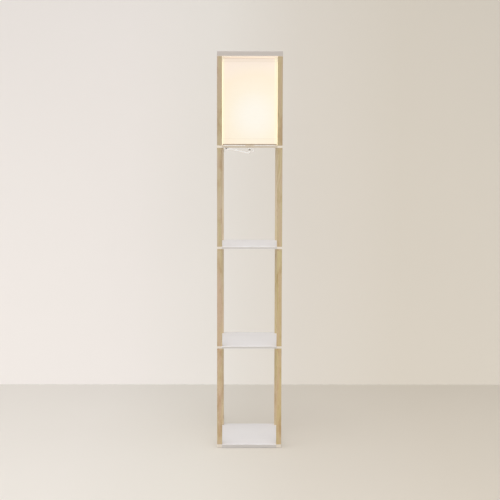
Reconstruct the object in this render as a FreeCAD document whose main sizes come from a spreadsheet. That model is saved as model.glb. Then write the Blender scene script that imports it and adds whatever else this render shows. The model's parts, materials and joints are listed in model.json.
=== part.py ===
import FreeCAD, Part
import math
import os
import re

import Sketcher

# A shelf floor lamp: four square wooden posts, cut at every board, carry a base board, three thin
# shelves and a thick top board. A four-sided fabric shade hangs on the lampholder in the top bay.
# Under the lamp shelf the cord leaves the lampholder's nipple, swags to the rear left corner and goes
# down the back of that post, where the spare length stands tied in a hank, with its plug behind it.
#
# Millimetres. X is to the right, Y to the back, Z up. The origin is on the floor under the centre.

Vector = FreeCAD.Vector
document = FreeCAD.newDocument("shelf_floor_lamp")
sizes = document.addObject("Spreadsheet::Sheet", "sizes")
places = document.addObject("Spreadsheet::Sheet", "places")
words = {}
nodes = []


# ---------------------------------------------------------------- driving sizes and derived places

def write_cell(sheet, word, content, meaning):
    """Puts one value in the next row of a sheet: its meaning in A, the value in B, under an alias."""
    row = 1 + sum(1 for owner in words.values() if owner is sheet)
    sheet.set(f"A{row}", meaning)
    sheet.set(f"B{row}", content)
    sheet.setAlias(f"B{row}", word)
    words[word] = sheet


def full(formula):
    """The formula with each known word written as its sheet's cell."""
    def with_sheet(match):
        word = match.group(0)
        return f"{words[word].Name}.{word}" if word in words else word

    return re.sub(r"[a-z_][a-z_0-9]*", with_sheet, formula)


def size(word, number, meaning):
    write_cell(sizes, word, str(number), meaning)


def place(word, formula, meaning):
    write_cell(places, word, "=" + full(formula), meaning)


def value(word):
    return float(getattr(words[word], word))


def bind(thing, path, formula):
    thing.setExpression(path, full(formula))


def present(formula):
    """What a formula in millimetres comes to with the present sizes."""
    outcome = sizes.evalExpression(full(formula))
    return float(getattr(outcome, "Value", outcome))


# The frame
size("width", 260, "over the outer faces of the posts, left to right")
size("depth", 260, "over the outer faces of the posts, front to back")
size("post_side", 20, "side of a square post")
size("post_edge", 1.0, "eased long edges of a post")
size("board_edge", 0.8, "eased edges of a board")
size("pad_height", 2, "foot pad")
size("pad_radius", 9, "foot pad")
size("pad_inset", 34, "from the board's edge to a foot pad's centre")
size("base_thickness", 14, "base board")
size("shelf_thickness", 9, "each of the three shelves")
size("top_thickness", 20, "top board")
size("bay_height", 395, "clear height of each of the three open bays")
size("lamp_bay_height", 352, "clear height of the bay that holds the shade")

# Bolts and inserts in the posts
size("bolt_radius", 3, "hanger bolts and base bolts")
size("bolt_in_wood", 24, "wood-screw end of a hanger bolt")
size("bolt_in_insert", 12, "machine-thread end of any bolt")
size("board_hole_gap", 0.3, "round a bolt where it passes a board")
size("insert_radius", 4.4, "threaded insert")
size("insert_length", 14, "threaded insert")
size("thread_gap", 0.05, "radial gap where one piece is screwed into another")
size("bore_spare", 1, "depth of a blind bore past what it holds")
size("head_radius", 6, "countersunk head of a base bolt")
size("head_height", 3, "countersunk head of a base bolt")
size("hex_radius", 2.3, "hex socket in a base bolt, to its corners")
size("hex_depth", 2, "hex socket in a base bolt")

# The lampholder. Heights count from the top of the lamp shelf.
size("fit_gap", 0.1, "gap between pieces that slip together")
size("nipple_radius", 5, "threaded tube through the lamp shelf")
size("nipple_bore", 3.6, "its bore, as a radius")
size("nipple_below", 4.5, "nipple below the lamp shelf")
size("nipple_above", 8, "nipple above the lamp shelf")
size("washer_radius", 9, "washer under the lamp shelf")
size("washer_thickness", 1, "washer under the lamp shelf")
size("locknut_radius", 8, "hexagonal locknut, to its corners")
size("locknut_height", 3, "hexagonal locknut")
size("cap_wall", 1.4, "lampholder cap")
size("cap_floor", 2, "lampholder cap")
size("cap_height", 20, "lampholder cap")
size("shell_overlap", 4, "outer shell inside the cap")
size("shell_height", 60, "outer shell")
size("shell_wall", 1.2, "outer shell")
size("shoulder_height", 36, "from the shell's foot up to the shoulder that carries the shade")
size("shoulder_width", 3, "shoulder out from the shell")
size("shoulder_thickness", 2, "shoulder that carries the shade")
size("liner_wall", 0.8, "insulating liner")
size("liner_short", 2, "liner below the shell's rim")
size("body_radius", 15, "insulating body of the lampholder")
size("body_height", 30, "insulating body of the lampholder")
size("screw_shell_wall", 0.6, "screw shell")
size("screw_shell_height", 26, "screw shell")
size("screw_shell_hole", 5, "hole in its floor, as a radius")
size("contact_width", 4, "centre contact leaf")
size("contact_thickness", 0.5, "centre contact leaf")
size("contact_rise", 2.2, "centre contact leaf")
size("contact_reach", 4, "centre contact leaf, each way from the axis")
size("terminal_reach", 9, "terminal screw from the lampholder's axis")
size("terminal_head_radius", 3, "terminal screw")
size("terminal_head", 2.4, "height of a terminal screw's head")
size("terminal_radius", 1.6, "terminal screw's shank")
size("terminal_length", 7, "terminal screw's shank")
size("clamp_height", 6, "ring that clamps the shade on the lampholder")
size("clamp_wall", 4, "ring that clamps the shade on the lampholder")

# The pull chain
size("guide_radius", 3.6, "chain guide on the lampholder")
size("guide_bore", 2.2, "chain guide's bore, as a radius")
size("guide_height", 22, "chain guide")
size("guide_foot", 24, "chain guide above the lamp shelf")
size("guide_roof", 2, "closed top of the chain guide")
size("guide_stand_off", 3.6, "from the shell's side to the guide's side")
size("guide_arm_width", 5, "arm from the shell to the guide")
size("guide_arm_height", 6, "arm from the shell to the guide")
size("chain_turn", -55, "direction of the chain from the lampholder, degrees from +X")
size("chain_in_guide", 15, "chain inside its guide at rest")
size("bead_radius", 1.6, "chain bead")
size("bead_round", 0.5, "how far a bead steps in towards each of its ends")
size("bead_pitch", 4.2, "from bead to bead")
size("bead_count", 13, "beads on the chain")
size("link_radius", 0.6, "wire between beads")
size("link_length", 1.0, "wire between beads")
size("bell_radius", 3, "grip at the end of the chain")
size("bell_length", 9, "grip at the end of the chain")
size("bell_neck", 1, "grip's radius at the chain")
size("eyelet_bore", 3, "eyelet in the lamp shelf, as a radius")
size("eyelet_wall", 1.2, "eyelet in the lamp shelf")
size("eyelet_flange", 6.4, "radius of the eyelet's flange")
size("eyelet_flange_thickness", 0.8, "eyelet's flange under the shelf")

# The bulb
size("bulb_thread_gap", 0.3, "between the bulb's cap and the screw shell")
size("bulb_cap_length", 23, "screw cap of the bulb")
size("bulb_cap_shoulder", 4, "sloping foot of the screw cap")
size("bulb_tip_radius", 4.6, "bulb's contact")
size("bulb_tip_height", 1.4, "bulb's contact")
size("bulb_body_height", 36, "tapered body under the globe")
size("bulb_body_foot", 14, "radius of the tapered body at the cap")
size("globe_radius", 30, "globe of the bulb")
size("globe_wall", 1.2, "globe of the bulb")
size("globe_cut", -35, "latitude where the globe meets the body, in degrees")

# The shade and its frames
size("shade_gap", 2, "between the shade and the inner faces of the posts")
size("shade_lift", 3, "shade above the lamp shelf")
size("shade_headroom", 4, "top board above the shade")
size("shade_wall", 1.2, "fabric laminated on its backing")
size("shade_corner", 4, "rounding of the shade's upright corners")
size("wire_radius", 1.5, "shade frame wire")
size("wire_gap", 0.5, "between a frame wire and the fabric")
size("fitter_wall", 7, "flat ring that sits on the lampholder's shoulder")
size("fitter_thickness", 2, "flat ring that sits on the lampholder's shoulder")

# The cord and what is on it
size("cord_radius", 2.5, "round mains cord")
size("relief_shank", 14, "strain relief inside the nipple")
size("relief_flange_radius", 4.8, "strain relief")
size("relief_flange", 1.2, "strain relief")
size("relief_taper", 5, "tapered part of the strain relief")
size("relief_root", 4.2, "radius where the taper starts")
size("relief_tip", 3.2, "radius where the cord leaves")
size("conductor_radius", 1, "insulated conductor inside the lampholder")
size("clip_gap", 0.2, "round the cord in a clip")
size("clip_wall", 1.2, "cord clip")
size("clip_base", 1.5, "plate of a cord clip")
size("clip_width", 12, "plate of a cord clip")
size("clip_length", 10, "cord clip along the cord")
size("clip_slit", 2.6, "mouth of a cord clip")
size("cord_post_x", -124, "centre of the cord where it goes down the post")
size("upper_clip_z", 1060, "centre of the top clip on the post")
size("middle_clip_z", 640, "centre of the middle clip on the post")
size("lower_clip_z", 235, "centre of the bottom clip on the post")
size("hank_fold", 15.5, "radius of the folds of the hank")
size("hank_run", 90, "length of the runs of the hank")
size("hank_floor_gap", 0.5, "hank above the floor")
size("hank_draw", 6.5, "how far the tie draws each run in at the waist")
size("hank_pitch", 5.7, "from loop to loop")
size("hank_loops", 3, "whole loops of the hank")
size("hank_near_x", -132, "first run of the hank")
size("hank_near_y", 135.5, "near runs of the hank")
size("tie_height", 10, "band round the waist of the hank")
size("tie_thickness", 1.2, "band round the waist of the hank")
size("tie_gap", 0.3, "between the band and the cord")
size("plug_width", 24, "plug body, across the blades")
size("plug_height", 15, "plug body")
size("plug_length", 28, "plug body")
size("plug_neck_width", 13, "plug body where the strain relief starts")
size("plug_relief_length", 22, "strain relief of the plug")
size("plug_relief_root", 4.8, "radius at the plug body")
size("plug_relief_tip", 3.4, "radius where the cord enters")
size("plug_edge", 2, "rounded edges of the plug body")
size("blade_spacing", 12.7, "between the centres of the blades")
size("blade_width", 6.35, "blade")
size("blade_thickness", 1.5, "blade")
size("blade_length", 16, "blade outside the plug")
size("blade_hole", 1.6, "hole near a blade's tip, as a radius")
size("blade_hole_inset", 4.3, "hole from the blade's tip")

# Levels of the frame
place("base_top", "pad_height + base_thickness", "top of the base board")
place("lower_shelf_z", "base_top + bay_height", "underside of the lower shelf")
place("middle_post_z", "lower_shelf_z + shelf_thickness", "foot of the second tier of posts")
place("middle_shelf_z", "middle_post_z + bay_height", "underside of the middle shelf")
place("upper_post_z", "middle_shelf_z + shelf_thickness", "foot of the third tier of posts")
place("lamp_shelf_z", "upper_post_z + bay_height", "underside of the lamp shelf")
place("lamp_z", "lamp_shelf_z + shelf_thickness", "top of the lamp shelf")
place("top_board_z", "lamp_z + lamp_bay_height", "underside of the top board")
place("post_x", "width / 2 - post_side / 2", "centre of a post")
place("post_y", "depth / 2 - post_side / 2", "centre of a post")
place("pad_x", "width / 2 - pad_inset", "centre of a foot pad")
place("pad_y", "depth / 2 - pad_inset", "centre of a foot pad")
place("board_hole", "bolt_radius + board_hole_gap", "hole in a board, as a radius")
place("insert_bore", "insert_radius + thread_gap", "bore for an insert, as a radius")
place("wood_bore", "bolt_radius + thread_gap", "bore for a bolt, as a radius")

# Radii and levels of the lampholder, from the inside out and from the shelf up
place("nipple_hole", "nipple_radius + fit_gap", "hole for the nipple, as a radius")
place("liner_bore", "body_radius + fit_gap", "liner, inside")
place("liner_radius", "liner_bore + liner_wall", "liner, outside")
place("shell_bore", "liner_radius + fit_gap", "outer shell, inside")
place("shell_radius", "shell_bore + shell_wall", "outer shell, outside")
place("cap_bore", "shell_radius + fit_gap", "cap, inside")
place("cap_radius", "cap_bore + cap_wall", "cap, outside")
place("shoulder_radius", "shell_radius + shoulder_width", "shoulder for the shade")
place("shell_foot", "cap_height - shell_overlap", "foot of the outer shell, liner and body")
place("shell_top", "shell_foot + shell_height", "rim of the outer shell")
place("shoulder_z", "shell_foot + shoulder_height", "top of the shoulder")
place("body_top", "shell_foot + body_height", "top of the insulating body")
place("clamp_z", "shoulder_z + fitter_thickness", "foot of the clamp ring")
place("clamp_bore", "shell_radius + fit_gap", "clamp ring and fitter ring, inside")
place("tip_z", "body_top + contact_rise + contact_thickness + fit_gap", "tip of the bulb")
place("bulb_cap_z", "tip_z + bulb_tip_height", "foot of the bulb's screw cap")
place("bulb_body_z", "bulb_cap_z + bulb_cap_length", "foot of the bulb's tapered body")
place("globe_foot_z", "bulb_body_z + bulb_body_height", "foot of the globe")
place("globe_z", "globe_foot_z - globe_radius * sin(globe_cut * 1 deg)", "centre of the globe")
place("globe_foot", "globe_radius * cos(globe_cut * 1 deg)", "radius of the globe's foot")
place("bulb_cap_radius", "body_radius - 1.1 - screw_shell_wall - bulb_thread_gap", "screw cap")
place("screw_shell_bore", "bulb_cap_radius + bulb_thread_gap", "screw shell, inside")
place("screw_shell_radius", "screw_shell_bore + screw_shell_wall", "screw shell, outside")
place("chain_reach", "shell_radius + guide_stand_off + guide_radius", "chain from the axis")
place("chain_x", "chain_reach * cos(chain_turn * 1 deg)", "chain")
place("chain_y", "chain_reach * sin(chain_turn * 1 deg)", "chain")
place("chain_length", "bead_count * bead_pitch", "chain without its bell")
place("chain_foot_z", "guide_foot + chain_in_guide - chain_length", "lower end of the chain")
place("eyelet_radius", "eyelet_bore + eyelet_wall", "eyelet in the shelf")

# The shade
place("shade_half_x", "width / 2 - post_side - shade_gap", "half the shade's width")
place("shade_half_y", "depth / 2 - post_side - shade_gap", "half the shade's depth")
place("shade_height", "lamp_bay_height - shade_lift - shade_headroom", "shade")
place("wire_inset", "shade_wall + wire_gap + wire_radius", "wire's centre inside the fabric's face")
place("wire_half_x", "shade_half_x - wire_inset", "centre line of the frame wires")
place("wire_half_y", "shade_half_y - wire_inset", "centre line of the frame wires")
place("lower_wire_z", "shade_lift + wire_radius + wire_gap", "centre of the lower frame's wire")
place("upper_wire_z", "shade_lift + shade_height - wire_radius - wire_gap", "the upper frame's wire")
place("fitter_radius", "clamp_bore + fitter_wall", "fitter ring, outside")

# The cord
place("clip_bore", "cord_radius + clip_gap", "cord clip, as a radius")
place("clip_stand_off", "clip_bore + clip_base", "cord's centre from what the clip is fixed to")
place("cord_post_y", "depth / 2 + clip_stand_off", "cord's centre behind the post")
place("cord_shelf_z", "lamp_shelf_z - clip_stand_off", "cord's centre in the clip under the shelf")
place("relief_z", "lamp_shelf_z - nipple_below", "top of the strain relief's flange")
place("exit_z", "relief_z - relief_flange - relief_taper", "where the cord leaves the lamp")
place("hank_foot_z", "hank_floor_gap + cord_radius + hank_fold", "centre of the lower folds")
place("hank_head_z", "hank_foot_z + hank_run", "centre of the upper folds")
place("hank_far_y", "hank_near_y + 2 * hank_fold", "far runs of the hank")
place("hank_centre_y", "hank_near_y + hank_fold", "middle of the hank")
place("hank_end_x", "hank_near_x + hank_loops * hank_pitch", "last run of the hank")
document.recompute()


# ---------------------------------------------------------------- helpers for bodies and sketches

# How near two heights count as the same level
TOUCHING = 1e-4


def new_body(label):
    body = document.addObject("PartDesign::Body", label)
    body.Label = label
    return body


def keep(thing, label=None):
    """Notes a finished sub-part: its label is the name of its node."""
    if label:
        thing.Label = label
    nodes.append(thing)
    return thing


def put(thing, x="0", y="0", z="0"):
    bind(thing, "Placement.Base.x", x)
    bind(thing, "Placement.Base.y", y)
    bind(thing, "Placement.Base.z", z)
    return thing


def sketch_on(body, name, role, lift=None):
    """A sketch on one of the body's own origin planes, lifted along its normal."""
    sketch = body.newObject("Sketcher::SketchObject", f"{body.Name}_{name}")
    plane = [p for p in body.Origin.OriginFeatures if p.Role == role][0]
    sketch.AttachmentSupport = (plane, "")
    sketch.MapMode = "FlatFace"
    if lift:
        bind(sketch, "AttachmentOffset.Base.z", lift)
    return sketch


def fix(sketch, kind, *constraint, formula):
    """Adds a constraint whose value is the formula."""
    number = sketch.addConstraint(Sketcher.Constraint(kind, *constraint))
    bind(sketch, f"Constraints[{number}]", formula)


def outline(sketch, corners):
    """A closed outline of straight lines through the corners, each a pair of formulas."""
    first = len(sketch.Geometry)
    count = len(corners)
    turn = 2 * math.pi / count
    start = [Vector(math.cos(turn * i), math.sin(turn * i), 0) for i in range(count)]
    for i in range(count):
        sketch.addGeometry(Part.LineSegment(start[i], start[(i + 1) % count]), False)
    for i in range(count):
        following = first + (i + 1) % count
        sketch.addConstraint(Sketcher.Constraint("Coincident", first + i, 2, following, 1))
    for i, (x, y) in enumerate(corners):
        fix(sketch, "DistanceX", -1, 1, first + i, 1, start[i].x, formula=x)
        fix(sketch, "DistanceY", -1, 1, first + i, 1, start[i].y, formula=y)


def circle(sketch, radius, x="0", y="0"):
    number = sketch.addGeometry(Part.Circle(Vector(0, 0, 0), Vector(0, 0, 1), 1), False)
    fix(sketch, "DistanceX", -1, 1, number, 3, 0.0, formula=x)
    fix(sketch, "DistanceY", -1, 1, number, 3, 0.0, formula=y)
    fix(sketch, "Radius", number, 1.0, formula=radius)


def rectangle(half_x, half_y):
    """Corners of a rectangle about the origin."""
    left, low = f"-({half_x})", f"-({half_y})"
    return [(left, low), (half_x, low), (half_x, half_y), (left, half_y)]


def polygon(radius, sides, x="0", y="0"):
    """Corners of a regular polygon, with one side towards +X. It stands for a circle where the piece
    is small or hidden, so that the part stays light."""
    turn = 360 / sides
    angles = [turn * (i + 0.5) for i in range(sides)]
    return [(f"{x} + ({radius}) * cos({a} deg)", f"{y} + ({radius}) * sin({a} deg)") for a in angles]


def pad(body, sketch, length, midplane=False):
    feature = body.newObject("PartDesign::Pad", f"{sketch.Name}_pad")
    feature.Profile = sketch
    bind(feature, "Length", length)
    feature.Midplane = midplane
    return feature


def pocket(body, sketch, depth=None, upwards=False):
    """Cuts the sketch through the body, or to a depth, downwards unless told otherwise."""
    feature = body.newObject("PartDesign::Pocket", f"{sketch.Name}_pocket")
    feature.Profile = sketch
    feature.Reversed = upwards
    if depth:
        bind(feature, "Length", depth)
    else:
        feature.Type = "ThroughAll"
    return feature


def taper(body, name, sides, *levels, role="XY_Plane"):
    """Adds a many-sided form through the levels, each a height and a radius: a stack of steps, whose
    flat sides are drafted from the radius at the foot of each step to the radius at its top."""
    feature = None
    for number, ((foot, radius), (top, top_radius)) in enumerate(zip(levels, levels[1:])):
        sketch = sketch_on(body, f"{name}_{number + 1}", role, lift=foot)
        outline(sketch, polygon(radius, sides))
        feature = pad(body, sketch, f"{top} - ({foot})")
        feature.Refine = False
        if radius != top_radius:
            lean = f"abs({radius} - ({top_radius})) * cos(180 deg / {sides}) / ({top} - ({foot}))"
            widens = present(top_radius) > present(radius)
            feature = drafted(body, feature, sketch, foot, f"atan({lean})", widens)
    return feature


def drafted(body, feature, sketch, level, angle, widens):
    """Leans the sides of a step inwards or outwards about its foot."""
    foot = body.newObject("PartDesign::Plane", f"{sketch.Name}_foot")
    foot.AttachmentSupport = sketch.AttachmentSupport
    foot.MapMode = "FlatFace"
    bind(foot, "AttachmentOffset.Base.z", level)
    document.recompute()
    along = sketch.Placement.Rotation.multVec(Vector(0, 0, 1))
    sides = []
    for number, face in enumerate(feature.Shape.Faces):
        heights = [along.dot(corner.Point - sketch.Placement.Base) for corner in face.Vertexes]
        if abs(min(heights)) < TOUCHING and abs(max(heights) - feature.Length.Value) < TOUCHING:
            sides.append(f"Face{number + 1}")
    leaning = body.newObject("PartDesign::Draft", f"{sketch.Name}_draft")
    leaning.Base = (feature, sides)
    leaning.NeutralPlane = (foot, [""])
    leaning.Reversed = widens
    bind(leaning, "Angle", angle)
    return leaning


def step(body, name, sides, foot, top, radius):
    """Adds an upright many-sided step."""
    sketch = sketch_on(body, name, "XY_Plane", lift=foot)
    outline(sketch, polygon(radius, sides))
    return pad(body, sketch, f"{top} - ({foot})")


def bore(body, name, sides, radius, foot, depth=None, x="0", y="0"):
    """Cuts a many-sided hole upwards from its foot, to a depth or right through."""
    sketch = sketch_on(body, name, "XY_Plane", lift=foot)
    outline(sketch, polygon(radius, sides, x, y))
    return pocket(body, sketch, depth, upwards=True)


def ring(label, sides, inside, outside, foot, top):
    body = new_body(label)
    step(body, "wall", sides, foot, top, outside)
    bore(body, "opening", sides, inside, foot)
    return body


def ease(body, feature, amount, chosen, kind="Chamfer"):
    """Chamfers or fillets those edges of the feature that the test chooses."""
    document.recompute()
    edges = [f"Edge{i + 1}" for i, edge in enumerate(feature.Shape.Edges) if chosen(edge)]
    eased = body.newObject(f"PartDesign::{kind}", f"{feature.Name}_{kind.lower()}")
    eased.Base = (feature, edges)
    bind(eased, "Size" if kind == "Chamfer" else "Radius", amount)
    return eased


def upright(edge):
    box = edge.BoundBox
    return box.ZLength > box.XLength + box.YLength


def group(label, members):
    """Several separate solids that share one node, each a placed copy of a template."""
    links = []
    for template, x, y, z in members:
        link = document.addObject("App::Link", f"{label}_{len(links) + 1}")
        link.LinkedObject = template
        link.Placement = template.Placement
        links.append(put(link, x, y, z))
    compound = document.addObject("Part::Compound", label)
    compound.Links = links
    return keep(compound, label)


# ---------------------------------------------------------------- the frame

# How many sides stand for a circle: on the lampholder and bulb, on small pieces, on what repeats most
ROUND = 16
SMALL = 12
FEW = 8

SIDES = {"left": "-", "right": ""}
ENDS = {"front": "-", "rear": ""}
CORNERS = [(end, side) for end in ENDS for side in SIDES]


def corner(end, side, x="post_x", y="post_y"):
    """The place of one corner's fastener, post or pad."""
    return f"{SIDES[side]}{x}", f"{ENDS[end]}{y}"


def corner_holes(sketch, radius):
    for end, side in CORNERS:
        outline(sketch, polygon(radius, FEW, *corner(end, side)))


def board(label, level, thickness):
    """A square board with eased edges, lying on the level."""
    body = new_body(label)
    face = sketch_on(body, "face", "XY_Plane")
    outline(face, rectangle("width / 2", "depth / 2"))
    ease(body, pad(body, face, thickness), "board_edge", lambda edge: True)
    put(body, z=level)
    return keep(body)


def base_board():
    """The base board, with a countersunk hole under each post."""
    body = board("base_board", "pad_height", "base_thickness")
    marks = sketch_on(body, "marks", "XY_Plane")
    for end, side in CORNERS:
        circle(marks, "board_hole", *corner(end, side))
    document.recompute()
    hole = body.newObject("PartDesign::Hole", "base_board_countersinks")
    hole.Profile = marks
    hole.Reversed = True
    hole.DepthType = "ThroughAll"
    bind(hole, "Diameter", "2 * board_hole")
    hole.HoleCutType = "Countersink"
    hole.HoleCutCustomValues = True
    bind(hole, "HoleCutDiameter", "2 * head_radius + 2 * board_hole_gap")
    hole.HoleCutCountersinkAngle = 90
    document.recompute()


def shelves():
    """Three thin shelves. The one under the lamp also has holes for the nipple and the chain."""
    for label, level in (
        ("lower_shelf", "lower_shelf_z"),
        ("middle_shelf", "middle_shelf_z"),
        ("lamp_shelf", "lamp_shelf_z"),
    ):
        body = board(label, level, "shelf_thickness")
        holes = sketch_on(body, "holes", "XY_Plane")
        corner_holes(holes, "board_hole")
        if label == "lamp_shelf":
            outline(holes, polygon("nipple_hole", SMALL))
            outline(holes, polygon("eyelet_radius + fit_gap", SMALL, "chain_x", "chain_y"))
        pocket(body, holes, upwards=True)


def top_board():
    """The thick top board, with a blind bore for a threaded insert over each post."""
    body = board("top_board", "top_board_z", "top_thickness")
    bores = sketch_on(body, "bores", "XY_Plane")
    corner_holes(bores, "insert_bore")
    pocket(body, bores, "insert_length", upwards=True)


def post(label, end, side, foot, length):
    """A square post with eased edges, a bore for an insert in its foot and for a bolt in its head."""
    body = new_body(label)
    section = sketch_on(body, "section", "XY_Plane")
    outline(section, rectangle("post_side / 2", "post_side / 2"))
    ease(body, pad(body, section, length), "post_edge", upright)
    bore(body, "foot_bore", FEW, "insert_bore", "0", "insert_length + bore_spare")
    depth = "bolt_in_wood + bore_spare"
    bore(body, "head_bore", FEW, "wood_bore", f"{length} - ({depth})", depth)
    put(body, *corner(end, side), foot)
    keep(body)


TIERS = (
    ("bottom", "base_top", "bay_height"),
    ("middle", "middle_post_z", "bay_height"),
    ("upper", "upper_post_z", "bay_height"),
    ("lamp", "lamp_z", "lamp_bay_height"),
)


def posts():
    """Four tiers of four posts."""
    for tier, foot, length in TIERS:
        for end, side in CORNERS:
            post(f"{tier}_post_{end}_{side}", end, side, foot, length)


def hanger_bolts():
    """Double-ended bolts out of the posts' heads: through a shelf, or straight into the top board."""
    length = "bolt_in_wood + shelf_thickness + bolt_in_insert"
    through = rod("through_bolt", FEW, "bolt_radius", length)
    short = rod("short_bolt", FEW, "bolt_radius", "bolt_in_wood + bolt_in_insert")
    heads = {"lower_shelf_z": through, "middle_shelf_z": through, "lamp_shelf_z": through}
    heads["top_board_z"] = short
    members = []
    for level, template in heads.items():
        for end, side in CORNERS:
            members.append((template, *corner(end, side), f"{level} - bolt_in_wood"))
    group("hanger_bolts", members)


def rod(label, sides, radius, height):
    """A plain many-sided rod."""
    solid = document.addObject("Part::Prism", label)
    solid.Polygon = sides
    bind(solid, "Circumradius", radius)
    bind(solid, "Height", height)
    solid.Placement.Rotation = FreeCAD.Rotation(Vector(0, 0, 1), 180 / sides)
    return solid


def threaded_inserts():
    """Bushes flush with the foot of every post and with the underside of the top board."""
    bush = ring("insert_template", FEW, "wood_bore", "insert_radius", "0", "insert_length")
    levels = [foot for _, foot, _ in TIERS] + ["top_board_z"]
    members = [(bush, *corner(end, side), level) for level in levels for end, side in CORNERS]
    group("threaded_inserts", members)


def base_bolts():
    """Countersunk bolts from under the base board into the lowest posts."""
    bolt = new_body("base_bolt_template")
    taper(bolt, "head", FEW, ("0", "head_radius"), ("head_height", "bolt_radius"))
    step(bolt, "shank", FEW, "head_height", "base_thickness + bolt_in_insert", "bolt_radius")
    bore(bolt, "socket", 6, "hex_radius", "0", "hex_depth")
    group("base_bolts", [(bolt, *corner(end, side), "pad_height") for end, side in CORNERS])


def foot_pads():
    pad_disc = rod("foot_pad_template", ROUND, "pad_radius", "pad_height")
    members = [(pad_disc, *corner(end, side, "pad_x", "pad_y"), "0") for end, side in CORNERS]
    group("foot_pads", members)


# ---------------------------------------------------------------- the lampholder

def at_lamp(body, x="0", y="0"):
    """Puts a piece of the lampholder on the lamp shelf, from whose top its heights count."""
    put(body, x, y, "lamp_z")
    return keep(body)


def nipple_and_nuts():
    """The threaded tube through the shelf, its washer and a locknut at each end."""
    nipple_foot = "-shelf_thickness - nipple_below"
    at_lamp(ring("nipple", SMALL, "nipple_bore", "nipple_radius", nipple_foot, "nipple_above"))
    washer_foot = "-shelf_thickness - washer_thickness"
    below = "-shelf_thickness"
    at_lamp(ring("nipple_washer", SMALL, "nipple_hole", "washer_radius", washer_foot, below))
    nut = new_body("locknut_template")
    section = sketch_on(nut, "section", "XY_Plane")
    outline(section, polygon("locknut_radius", 6))
    outline(section, polygon("nipple_radius + thread_gap", SMALL))
    pad(nut, section, "locknut_height")
    lower = "lamp_shelf_z - washer_thickness - locknut_height"
    group("nipple_locknuts", [(nut, "0", "0", lower), (nut, "0", "0", "lamp_z + cap_floor")])


def socket_cap():
    """The cup at the foot of the lampholder, held down by the upper locknut."""
    body = new_body("socket_cap")
    foot_radius = "cap_radius - cap_floor"
    taper(body, "foot", ROUND, ("0", foot_radius), ("cap_floor", "cap_radius"))
    step(body, "wall", ROUND, "cap_floor", "cap_height", "cap_radius")
    bore(body, "hollow", ROUND, "cap_bore", "cap_floor")
    bore(body, "nipple_hole", SMALL, "nipple_hole", "0")
    at_lamp(body)


def socket_shell_and_liner():
    """The outer shell, with the shoulder that carries the shade, and the insulating tube in it."""
    shell = new_body("socket_outer_shell")
    step(shell, "wall", ROUND, "shell_foot", "shell_top", "shell_radius")
    shoulder_foot = "shoulder_z - shoulder_thickness"
    step(shell, "shoulder", ROUND, shoulder_foot, "shoulder_z", "shoulder_radius")
    bore(shell, "hollow", ROUND, "shell_bore", "shell_foot")
    at_lamp(shell)
    liner_top = "shell_top - liner_short"
    at_lamp(ring("socket_liner", ROUND, "liner_bore", "liner_radius", "shell_foot", liner_top))


def socket_body_and_contacts():
    """The insulating body with its terminals below, and the screw shell and contact leaf on top."""
    body = new_body("socket_body")
    step(body, "drum", ROUND, "shell_foot", "body_top", "body_radius")
    depth = "terminal_length + bore_spare"
    for side, sign in SIDES.items():
        x = f"{sign}terminal_reach"
        bore(body, f"{side}_hole", FEW, "terminal_radius + thread_gap", "shell_foot", depth, x)
    at_lamp(body)
    shell = new_body("socket_screw_shell")
    shell_rim = "body_top + screw_shell_height"
    step(shell, "wall", ROUND, "body_top", shell_rim, "screw_shell_radius")
    bore(shell, "hollow", ROUND, "screw_shell_bore", "body_top + screw_shell_wall")
    bore(shell, "floor_hole", ROUND, "screw_shell_hole", "body_top")
    at_lamp(shell)
    leaf = new_body("socket_centre_contact")
    side = sketch_on(leaf, "side", "XZ_Plane")
    tip_foot = "body_top + contact_rise"
    outline(
        side,
        [
            ("-contact_reach", "body_top"),
            ("-contact_reach / 4", "body_top"),
            ("contact_reach", tip_foot),
            ("contact_reach", f"{tip_foot} + contact_thickness"),
            ("-contact_reach / 4", "body_top + contact_thickness"),
            ("-contact_reach", "body_top + contact_thickness"),
        ],
    )
    pad(leaf, side, "contact_width", midplane=True)
    at_lamp(leaf)
    screw = new_body("terminal_screw_template")
    step(screw, "head", SMALL, "-terminal_head", "0", "terminal_head_radius")
    step(screw, "shank", FEW, "0", "terminal_length", "terminal_radius")
    level = "lamp_z + shell_foot"
    members = [(screw, f"{sign}terminal_reach", "0", level) for sign in SIDES.values()]
    group("terminal_screws", members)


def chain_guide():
    """A short tube beside the shell, open below, that the chain slides in, on an arm from the shell."""
    tube = rod("guide_tube", SMALL, "guide_radius", "guide_height")
    put(tube, "chain_reach", "0", "guide_foot")
    arm = document.addObject("Part::Box", "guide_arm")
    bind(arm, "Length", "chain_reach")
    bind(arm, "Width", "guide_arm_width")
    bind(arm, "Height", "guide_arm_height")
    arm_foot = "guide_foot + guide_height / 2 - guide_arm_height / 2"
    put(arm, "0", "-guide_arm_width / 2", arm_foot)
    hollow = rod("guide_bore_tool", SMALL, "guide_bore", "guide_height - guide_roof")
    put(hollow, "chain_reach", "0", "guide_foot")
    shell_tool = rod("guide_shell_tool", ROUND, "shell_radius + thread_gap", "shell_top")
    shell_tool.Placement.Rotation = FreeCAD.Rotation(Vector(0, 0, 1), 180 / ROUND - value("chain_turn"))
    joined = document.addObject("Part::Fuse", "guide_blank")
    joined.Base, joined.Tool = tube, arm
    bored = document.addObject("Part::Cut", "guide_bored")
    bored.Base, bored.Tool = joined, hollow
    guide = document.addObject("Part::Cut", "chain_guide")
    guide.Base, guide.Tool = bored, shell_tool
    guide.Placement.Rotation = FreeCAD.Rotation(Vector(0, 0, 1), value("chain_turn"))
    bind(guide, "Placement.Rotation.Angle", "chain_turn")
    at_lamp(guide)


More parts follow.
